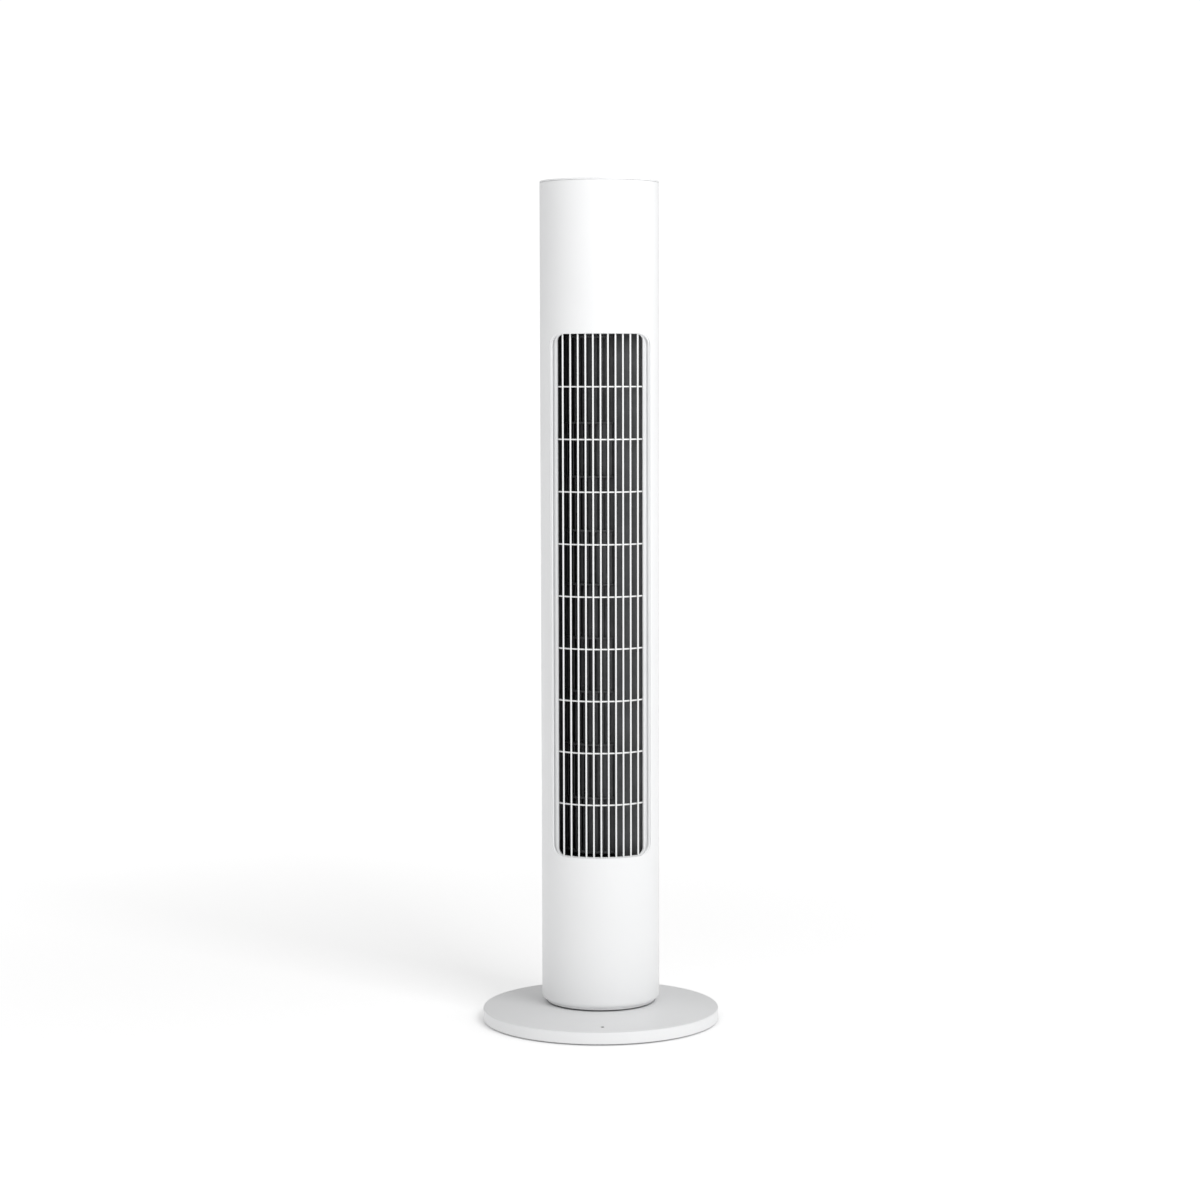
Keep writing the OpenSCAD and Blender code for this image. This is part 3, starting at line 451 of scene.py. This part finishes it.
def apply_modifiers(obj):
    graph = bpy.context.evaluated_depsgraph_get()
    mesh = bpy.data.meshes.new_from_object(obj.evaluated_get(graph))
    obj.modifiers.clear()
    old, obj.data = obj.data, mesh
    mesh.name = obj.name
    bpy.data.meshes.remove(old)


def front_housing():
    """The front shell: round outside, with a shallow step round the outlet and its lower edge rounded in."""
    fold = 0.35
    pocket_x, pocket_z, pocket_depth, pocket_corner = 6.7, 0.7, 4.0, 6.0
    lip_depth = 7.7
    z_low, z_high = open_z0 - surround, open_z1 + surround
    rim = [(pocket_x + fold, pocket_z + fold, 0.0, pocket_corner)]
    for phi in (30, 60, 88):
        c, d = math.sin(math.radians(phi)), math.cos(math.radians(phi))
        grow = fold * (1 - c)
        rim.append((pocket_x + grow, pocket_z + grow, fold * 0.8 * (1 - d), pocket_corner))
    rim += [
        (pocket_x, pocket_z, pocket_depth - 0.5, pocket_corner),
        (pocket_x - 0.2, pocket_z - 0.1, pocket_depth - 0.1, pocket_corner - 0.1),
        (pocket_x - 0.6, pocket_z - 0.25, pocket_depth, pocket_corner - 0.4),
        (1.0, 0.3, pocket_depth, 1.2),
        (0.5, 0.2, pocket_depth, 0.5),
        (0.15, 0.05, pocket_depth + 0.15, 0.1),
        (0.0, 0.0, pocket_depth + 0.5, 0.0),
        (0.0, 0.0, lip_depth, 0.0),
    ]
    contours = []
    for grow_x, grow_z, depth, grow_r in rim:
        outline = window_outline(open_half + grow_x, open_z0 - grow_z, open_z1 + grow_z, open_corner + grow_r)
        contours.append([(math.degrees(math.asin(x / (R - depth))), z, R - depth) for x, z in outline])
    first = contours[0]
    corner_r = open_corner + rim[0][3]
    straight = (open_z0 - rim[0][1] + corner_r, open_z1 + rim[0][1] - corner_r)
    border = shell_border(front_half_angle, z_low, z_high, straight)
    spread = 14
    loops = []
    for k in range(spread):
        t = k / spread
        loops.append([on_column(a + (to_a - a) * t, z + (to_z - z) * t, R)
                      for (a, z), (to_a, to_z, _) in zip(border, first)])
    loops += [[on_column(*p) for p in contour] for contour in contours]

    parts = Parts()
    stitch(parts, loops)
    top_angles = sorted({round(a, 6) for a, z in border if abs(z - z_high) < 1e-6})
    bands(parts, top_angles, shell_head(z_high))
    bands(parts, top_angles, shell_foot(z_low))
    obj = parts.build("front_housing_shell", weld=0.002)
    thicken(obj, skin_t)
    obj.data.set_sharp_from_angle(angle=math.radians(38))
    return place(obj, "column", "white_shell", "front_housing")


def front_grille():
    """Upright bars with rounded fronts and hoops behind them; the frame that they end in is built by
    grille_frame.
    """
    parts = Parts()
    z0, z1 = open_z0 - 0.5, open_z1 + 0.5
    for i in range(bar_count):
        x = (i - (bar_count - 1) / 2) * bar_pitch
        y = -math.sqrt(grille_r ** 2 - x * x)
        w = bar_w / 2
        back_w, back_y = w * 0.8, y + bar_depth
        outline = rounded([(x - w, y), (x + w, y), (x + back_w, back_y), (x - back_w, back_y)],
                          [0.8, 0.8, 0.3, 0.3], 5)
        prism(parts, outline, z0, z1)
    for k in range(1, rows):
        z = open_z0 + k * row_h
        h = hoop_t / 2
        profile = rounded([(hoop_r0, z - h), (hoop_r1, z - h), (hoop_r1, z + h), (hoop_r0, z + h)],
                          [0.3, 0.8, 0.8, 0.3], 4)
        lathe(parts, profile, 60, -90 - 52.6, -90 + 52.6)
    obj = parts.build("front_grille_bars", sharp=40)
    return place(obj, "column", "white_grille")


def grille_frame():
    """The curved panel behind the housing's lip that the bars are moulded to."""
    z0, z1 = frame_lo.z / MM, frame_hi.z / MM
    r = R - 8.0
    half = math.degrees(math.asin(frame_hi.x / MM / r))
    first = window_outline(open_half + 0.6, open_z0 - 0.6, open_z1 + 0.6, open_corner - 1)
    straight = (open_z0 - 0.6 + open_corner - 1, open_z1 + 0.6 - open_corner + 1)
    border = shell_border(half, z0, z1, straight)
    loops = []
    for k in range(5):
        t = k / 4
        loops.append([on_column(a + (math.degrees(math.asin(x / r)) - a) * t, z + (w - z) * t, r)
                      for (a, z), (x, w) in zip(border, first)])
    parts = Parts()
    stitch(parts, loops)
    obj = parts.build("front_grille_frame", weld=0.002)
    thicken(obj, 2.3)
    return place(obj, "column", "white_grille", "front_grille")


# ---------------------------------------------------------------- the shell's back


def rear_window(half, z0, z1, r, corner=12, across=48):
    """A rounded window as (degrees from the back, height); r is in millimetres along the surface."""
    turn = math.degrees(r / R)
    centres = [(half - turn, z1 - r), (turn - half, z1 - r), (turn - half, z0 + r), (half - turn, z0 + r)]
    out = []
    for i, (ca, cz) in enumerate(centres):
        bend = [(ca + turn * math.cos(math.radians(90 * i + 90 * k / corner)),
                 cz + r * math.sin(math.radians(90 * i + 90 * k / corner))) for k in range(corner + 1)]
        out += bend
        if i % 2 == 0:
            out += [(bend[-1][0] * (1 - 2 * k / across), bend[-1][1]) for k in range(1, across)]
    return out


def behind(angle, z, r):
    return (r * math.sin(math.radians(angle)), r * math.cos(math.radians(angle)), z)


def rear_housing():
    edge = 0.5
    half = 180 - front_half_angle - 0.3
    z_low, z_high = open_z0 - surround, open_z1 + surround
    rim = [(edge, 0.0), (edge * 0.45, edge * 0.12), (0.0, edge), (0.0, 2.1)]
    window = []
    for grow, depth in rim:
        half_angle = rear_half + math.degrees(grow / R)
        outline = rear_window(half_angle, open_z0 - grow, open_z1 + grow, rear_corner + grow)
        window.append([behind(a, z, R - depth) for a, z in outline])
    half_angle = rear_half + math.degrees(edge / R)
    first = rear_window(half_angle, open_z0 - edge, open_z1 + edge, rear_corner + edge)
    straight = (open_z0 + rear_corner, open_z1 - rear_corner)
    border = shell_border(half, z_low, z_high, straight, 12, 48)
    spread = 6
    loops = []
    for k in range(spread):
        t = k / spread
        loops.append([behind(a + (to_a - a) * t, z + (to_z - z) * t, R)
                      for (a, z), (to_a, to_z) in zip(border, first)])
    loops += window
    parts = Parts()
    stitch(parts, loops)
    angles = sorted({round(a, 6) for a, z in border if abs(z - z_high) < 1e-6})
    for levels in (shell_head(z_high), shell_foot(z_low)):
        bands(parts, [180 - a for a in angles], levels)
    obj = parts.build("rear_housing_shell", weld=0.002)
    thicken(obj, skin_t)
    for a, z in screw_places:
        cut_bore(obj, a, z, 3.3, R - 1.5)
    obj.data.set_sharp_from_angle(angle=math.radians(38))
    return place(obj, "column", "white_shell", "rear_housing")


def rear_grille():
    """The intake: a flush border, upright slats with rounded fronts, and low hoops that join them."""
    gap, border = 0.35, 13.0
    z0, z1 = open_z0 + gap, open_z1 - gap
    half = rear_half - math.degrees(gap / R)
    inner_half = half - math.degrees(2.9 / R)
    rim = [(0.0, 2.1), (0.0, 0.4), (0.25, 0.1), (0.5, 0.0)]
    loops = []
    for g, depth in rim:
        outline = rear_window(half - math.degrees(g / R), z0 + g, z1 - g, rear_corner - gap - g)
        loops.append([behind(a, z, R - depth) for a, z in outline])
    hole = [(0.5, 0.0), (0.2, 0.12), (0.0, 0.5), (0.0, 2.1)]
    hole_z0, hole_z1 = z0 + border, z1 - border
    for g, depth in hole:
        outline = rear_window(inner_half + math.degrees(g / R), hole_z0 - g, hole_z1 + g, 2.0 + g)
        loops.append([behind(a, z, R - depth) for a, z in outline])
    parts = Parts()
    stitch(parts, loops + loops[:1])
    step = 2 * (rear_half - 0.25) / (slat_count + 1)
    for i in range(1, slat_count + 1):
        a = -(rear_half - 0.25) + i * step
        w, r0, r1 = 0.9, R - 2.4, R - 0.3
        outline = rounded([(r0, -w), (r1, -w), (r1, w), (r0, w)], [0.2, 0.6, 0.6, 0.2], 4)
        prism(parts, turned(outline, 90 - a), hole_z0 - 0.8, hole_z1 + 0.8)
    for k in range(1, rows):
        z = open_z0 + k * row_h
        profile = rounded([(R - 2.7, z - 0.9), (R - 1.2, z - 0.9), (R - 1.2, z + 0.9), (R - 2.7, z + 0.9)],
                          [0.2, 0.5, 0.5, 0.2], 3)
        lathe(parts, profile, 80, 90 - inner_half - 1, 90 + inner_half + 1)
    obj = parts.build("rear_grille_slats", sharp=40, weld=0.0005)
    for a in (-6, 6):
        cut_bore(obj, a, open_z0 + 4, 2.95, R - 1.6)
    obj.data.set_sharp_from_angle(angle=math.radians(40))
    return place(obj, "column", "white_grille", "rear_grille")


def cut_bore(obj, angle, z, radius, floor_r):
    """A round recess in the shell's back, square to its surface, down to floor_r."""
    parts = Parts()
    sides = 40
    ring = arc(0, 0, radius, 0, 360 * (sides - 1) / sides, sides - 1)
    c, s = math.sin(math.radians(angle)), math.cos(math.radians(angle))
    loops = [[(r * c + u * s, r * s - u * c, z + v) for u, v in ring] for r in (floor_r, R + 3)]
    stitch(parts, loops)
    parts.faces += [list(reversed(range(sides))), list(range(sides, 2 * sides))]
    cut(obj, parts.build("cutter", weld=0.0005))


# ---------------------------------------------------------------- impeller


def blade_outline():
    """A forward-curved blade, thin at both edges and full in the middle."""
    steps = 8
    mid = []
    for i in range(steps + 1):
        t = i / steps
        r = imp_r - 2.0 - blade_depth * (1 - t)
        lean = math.radians(15 * t ** 1.7)
        mid.append(Vector((r * math.cos(lean), r * math.sin(lean))))
    left, right = [], []
    for i, p in enumerate(mid):
        d = (mid[min(i + 1, steps)] - mid[max(i - 1, 0)]).normalized()
        n = Vector((-d.y, d.x)) * (0.32 + 0.3 * math.sin(math.pi * i / steps))
        left.append(tuple(p + n))
        right.append(tuple(p - n))
    return right + left[::-1]


def impeller():
    parts = Parts()
    blade = blade_outline()
    z_first = imp_z0 + plate_t
    r_in = imp_r - blade_depth - 3
    for s in range(segments):
        low = z_first + s * segment_h
        high = imp_z1 - plate_t if s == segments - 1 else low + segment_h
        for i in range(blade_count):
            prism(parts, turned(blade, (i + 0.5 * (s % 2)) * 360 / blade_count), low - 0.4, high + 0.4)
    for z, t, inner in ([(imp_z0, plate_t, 4.0), (imp_z1 - plate_t, plate_t, 3.0)]
                        + [(z_first + s * segment_h - disc_t / 2, disc_t, r_in) for s in range(1, segments)]):
        outline = [(inner, z), (imp_r, z), (imp_r, z + t), (inner, z + t)]
        lathe(parts, rounded(outline, [0, 0.6, 0.6, 0], 3), 144)
    for bore, boss_r, low, high in ((4, 10, imp_z0 + 1, imp_z0 + 16), (3, 8, imp_z1 - 12, imp_z1 - 1)):
        outline = [(bore, low), (boss_r, low), (boss_r, high), (bore, high)]
        lathe(parts, rounded(outline, 0.5, 3), 48)
    obj = parts.build("impeller_blades", sharp=40)
    return place(obj, "rotor", "dark_plastic", "impeller")


def scroll():
    """The duct's curved wall: smooth inside, with a rounded nose where it comes closest to the impeller."""
    low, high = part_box("scroll")
    z0, z1 = low.z / MM + 0.05, high.z / MM - 0.05
    start, end, steps = 115.0, 214.5, 64
    r0, r1, t, bead_r = imp_r + 3, 63.2, 2.0, 1.75
    inner, outer = [], []
    for i in range(steps + 1):
        a = start + (end - start) * i / steps
        r = r0 * (r1 / r0) ** (i / steps)
        c, d = math.cos(math.radians(a)), math.sin(math.radians(a))
        inner.append((r * c, r * d))
        outer.append(((r + t) * c, (r + t) * d))
    nose_r, nose_a = r0 + t / 2, math.radians(start)
    parts = Parts()
    prism(parts, inner + outer[::-1], z0, z1)
    prism(parts, arc(nose_r * math.cos(nose_a), nose_r * math.sin(nose_a), bead_r, 0, 348, 29), z0, z1)
    obj = parts.build("scroll_wall", sharp=35)
    return place(obj, "column", "dark_plastic", "scroll")


# ---------------------------------------------------------------- base and top


def base_cover():
    parts = Parts()
    rim_in, skin = base_r - 2.7, 3.0
    seat = neck_z - 1.0
    profile = rounded([
        (12, seat - skin), (72, seat - skin), (72.5, neck_z - skin), (rim_in - 1, rim_z - skin + 0.2),
        (rim_in, rim_z - skin - 1), (rim_in, base_z0), (base_r, base_z0), (base_r, rim_z), (neck_r, neck_z),
        (well_r, neck_z), (well_r, seat), (12, seat)
    ], [0.3, 0.3, 0.3, 0.5, 0.5, 0.3, 0.5, 2.0, 1.2, 0.4, 0.2, 0.3], 6)
    lathe(parts, profile, 256)
    obj = parts.build("base_cover_shell", sharp=40)
    low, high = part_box("power_inlet")
    gap = Vector((0.2, 0, 0.2)) * MM
    inner, outer = low.y - 4 * MM, base_hi.y + 5 * MM
    cut_box(obj, Vector((low.x, inner, low.z)) - gap, Vector((high.x, outer, high.z)) + gap)
    dot_lo, dot_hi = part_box("front_index_dot")
    dot_r = (dot_hi.x - dot_lo.x) / 2
    cut_cylinder(obj, (dot_lo + dot_hi) / 2, dot_r + 0.05 * MM, dot_lo.z, 4 * MM)
    obj.data.set_sharp_from_angle(angle=math.radians(40))
    return place(obj, "base", "white_shell", "base_cover")


def cut(obj, cutter):
    boolean = obj.modifiers.new("cut", "BOOLEAN")
    boolean.operation = "DIFFERENCE"
    boolean.solver = "EXACT"
    boolean.object = cutter
    apply_modifiers(obj)
    bpy.data.objects.remove(cutter)


def cut_box(obj, low, high):
    parts = Parts()
    lo, hi = low / MM, high / MM
    prism(parts, [(lo.x, lo.y), (hi.x, lo.y), (hi.x, hi.y), (lo.x, hi.y)], lo.z, hi.z)
    cut(obj, parts.build("cutter"))


def cut_cylinder(obj, centre, radius, z0, height):
    parts = Parts()
    sides = 48
    outline = arc(centre.x / MM, centre.y / MM, radius / MM, 0, 360 * (sides - 1) / sides, sides - 1)
    prism(parts, outline, z0 / MM, (z0 + height) / MM)
    cut(obj, parts.build("cutter"))


def index_dot():
    low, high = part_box("front_index_dot")
    c, r = (low + high) / 2 / MM, (high.x - low.x) / 2 / MM
    z = high.z / MM
    parts = Parts()
    sides = 40
    outline = arc(0, 0, r, 0, 360 * (sides - 1) / sides, sides - 1)
    loops = [[(c.x + x * k, c.y + y * k, h) for x, y in outline]
             for k, h in ((1, low.z / MM), (1, z - 0.3), (0.94, z - 0.1), (0.8, z), (0.02, z))]
    stitch(parts, loops)
    last = (len(loops) - 1) * sides
    parts.faces += [list(reversed(range(sides))), list(range(last, last + sides))]
    obj = parts.build("index_dot_pad", sharp=50)
    return place(obj, "base", "grey_dot", "front_index_dot")


def trim_ring():
    low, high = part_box("bottom_trim_ring")
    z0, z1, r = low.z / MM, high.z / MM, high.x / MM
    parts = Parts()
    lathe(parts, rounded([(63, z0), (r, z0), (r, z1), (63, z1)], [0.2, 0.7, 0.2, 0.2], 5), 192)
    obj = parts.build("trim_ring_foot", sharp=40)
    return place(obj, "column", "white_shell", "bottom_trim_ring")


def top_cover():
    z0 = top_lo.z / MM
    rim0 = shell_z1 + 0.3
    panel_lo, panel_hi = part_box("control_panel")
    panel_r, under = panel_hi.x / MM + 0.2, panel_hi.z / MM - panel_t - 0.1
    spigot_r, ledge_r, skirt_r, ledge_z = R - shell_t - 0.1, 58, 70.5, top_z - 6
    parts = Parts()
    lathe(parts, rounded([
        (ledge_r, ledge_z), (skirt_r, ledge_z), (skirt_r, z0), (spigot_r, z0), (spigot_r, rim0), (R, rim0),
        (R, top_z), (panel_r, top_z), (panel_r, under), (ledge_r, under)
    ], [0.3, 0.3, 0.2, 0.3, 0, 0.1, 1.2, 0.7, 0.2, 0.3], 6), 192)
    obj = parts.build("top_cover_rim", sharp=40)
    return place(obj, "column", "white_shell", "top_cover")


def control_panel():
    low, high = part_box("control_panel")
    top, r = high.z / MM, high.x / MM
    parts = Parts()
    outline = [(axis_r, top - panel_t), (r, top - panel_t), (r, top), (axis_r, top)]
    lathe(parts, rounded(outline, [0, 0.3, 0.6, 0], 5), 192)
    obj = parts.build("control_panel_disc", sharp=40, weld=0.05)
    for name in key_nodes:
        lo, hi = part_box(name)
        c = (lo + hi) / 2
        cut_cylinder(obj, c, (key_r + 0.3) * MM, low.z, 20 * MM)
    lo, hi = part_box("display_window")
    spare = Vector((0.1, 0.1, 4)) * MM
    cut_box(obj, lo - spare, hi + spare)
    obj.data.set_sharp_from_angle(angle=math.radians(40))
    return place(obj, "column", "white_shell", "control_panel")


def keys():
    """Four caps with rounded shoulders and a shallow dish for the fingertip."""
    for name in key_nodes:
        low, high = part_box(name)
        c, top = (low + high) / 2 / MM, high.z / MM
        bottom, side_r = low.z / MM + 1.2, key_r - 0.05
        parts = Parts()
        outline = [(axis_r, bottom), (side_r, bottom), (side_r, top - 0.9)]
        outline += arc(key_r - 0.9, top - 0.9, 0.85, 10, 90, 6)
        outline += [(key_r * k, top - 0.05 - 0.45 * (1 - k * k)) for k in (0.78, 0.6, 0.4, 0.2)]
        outline.append((axis_r, top - 0.5))
        lathe(parts, outline, 64)
        parts.verts = [(x + c.x, y + c.y, z) for x, y, z in parts.verts]
        obj = parts.build(name + "_cap", sharp=50, weld=0.05)
        place(obj, name, "white_keys", name)


def display_window():
    low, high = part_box("display_window")
    lo, hi = low / MM, high / MM
    parts = Parts()
    loops = []
    for inset, z in ((0.0, lo.z), (0.0, hi.z - 0.35), (0.1, hi.z - 0.1), (0.35, hi.z)):
        shape = rounded([(lo.x + inset, lo.y + inset), (hi.x - inset, lo.y + inset),
                         (hi.x - inset, hi.y - inset), (lo.x + inset, hi.y - inset)], 0.8, 5)
        loops.append([(x, y, z) for x, y in shape])
    n = len(loops[0])
    stitch(parts, loops)
    parts.faces += [list(reversed(range(n))), list(range(3 * n, 4 * n))]
    obj = parts.build("display_window_pane", sharp=50)
    return place(obj, "column", "display_dark", "display_window")


# ---------------------------------------------------------------- stage, light and camera


def stage():
    """A pale floor that gives off a little light so that it reads as white. Its glow carries painted shade:
    there is less of it close to the base, and less again next to the fan, which is a painted contact shadow.
    """
    mesh = bpy.data.meshes.new("floor")
    size = 40.0
    corners = [(-size, -size, 0), (size, -size, 0), (size, size, 0), (-size, size, 0)]
    mesh.from_pydata(corners, [], [(0, 1, 2, 3)])
    floor = bpy.data.objects.new("floor", mesh)
    bpy.context.scene.collection.objects.link(floor)
    paint = Paint("floor_pale", (0.9, 0.9, 0.9), 0.9, Specular_IOR_Level=0.1)
    paint.shader.inputs["Emission Color"].default_value = (1, 1, 1, 1)
    distance = paint.node("ShaderNodeVectorMath", operation="LENGTH")
    paint.link(paint.place.outputs["Object"], distance.inputs[0])
    # painted shade: the floor's glow rises from 0.38 close to the base to 0.6 beyond 2.4 m
    painted_shade_near_base = paint.node("ShaderNodeMapRange", interpolation_type="SMOOTHSTEP")
    for socket, value in (("From Min", 0.3), ("From Max", 2.4), ("To Min", 0.38), ("To Max", 0.6)):
        painted_shade_near_base.inputs[socket].default_value = value
    paint.link(distance.outputs["Value"], painted_shade_near_base.inputs["Value"])
    # painted contact shadow: ambient occlusion dims the floor's glow where the fan stands close
    near = paint.node("ShaderNodeAmbientOcclusion", Distance=0.16, samples=8)
    shade = paint.node("ShaderNodeMath", operation="MULTIPLY")
    paint.link(near.outputs["AO"], shade.inputs[0])
    paint.link(painted_shade_near_base.outputs["Result"], shade.inputs[1])
    paint.link(shade.outputs["Value"], paint.shader.inputs["Emission Strength"])
    mesh.materials.append(paint.material)


def area_light(name, place_at, look_at, size, power, colour=(1, 1, 1)):
    light = bpy.data.lights.new(name, "AREA")
    light.shape = "RECTANGLE"
    light.size, light.size_y = size
    light.energy = power
    light.color = colour
    obj = bpy.data.objects.new(name, light)
    obj.location = place_at
    obj.rotation_euler = (Vector(look_at) - Vector(place_at)).to_track_quat("-Z", "Y").to_euler()
    bpy.context.scene.collection.objects.link(obj)
    return obj


def lighting():
    """A key light in a white room, which the camera sees brighter than the room lights the fan."""
    world = bpy.data.worlds.new("studio")
    bpy.context.scene.world = world
    world.use_nodes = True
    tree = world.node_tree
    seen = tree.nodes["Background"]
    seen.inputs["Color"].default_value = (1, 1, 1, 1)
    seen.inputs["Strength"].default_value = 1.05
    lit = tree.nodes.new("ShaderNodeBackground")
    lit.inputs["Color"].default_value = (1, 1, 1, 1)
    lit.inputs["Strength"].default_value = 0.5
    ray, mix = tree.nodes.new("ShaderNodeLightPath"), tree.nodes.new("ShaderNodeMixShader")
    tree.links.new(ray.outputs["Is Camera Ray"], mix.inputs["Fac"])
    tree.links.new(lit.outputs["Background"], mix.inputs[1])
    tree.links.new(seen.outputs["Background"], mix.inputs[2])
    tree.links.new(mix.outputs["Shader"], tree.nodes["World Output"].inputs["Surface"])
    area_light("key", (1.15, -1.9, 2.0), (0, 0, 0.95), (1.2, 1.2), 32)


def camera():
    data = bpy.data.cameras.new("camera")
    data.sensor_width = 36.0
    data.lens = 85.32
    data.clip_end = 100.0
    distance, height = 3.6458, 0.8331
    azimuth, tilt, roll = math.radians(-0.9), math.radians(4.5), math.radians(-0.12)
    obj = bpy.data.objects.new("camera", data)
    obj.matrix_world = (
        Matrix.Rotation(azimuth, 4, "Z")
        @ Matrix.Translation((0, -distance, height))
        @ Matrix.Rotation(math.pi / 2 - tilt, 4, "X")
        @ Matrix.Rotation(roll, 4, "Z")
    )
    bpy.context.scene.collection.objects.link(obj)
    bpy.context.scene.camera = obj


front_housing()
front_grille()
grille_frame()
rear_housing()
rear_grille()
impeller()
scroll()
base_cover()
index_dot()
trim_ring()
top_cover()
control_panel()
keys()
display_window()
paint_all()
stage()
lighting()
camera()
bpy.context.scene.view_settings.view_transform = "Standard"
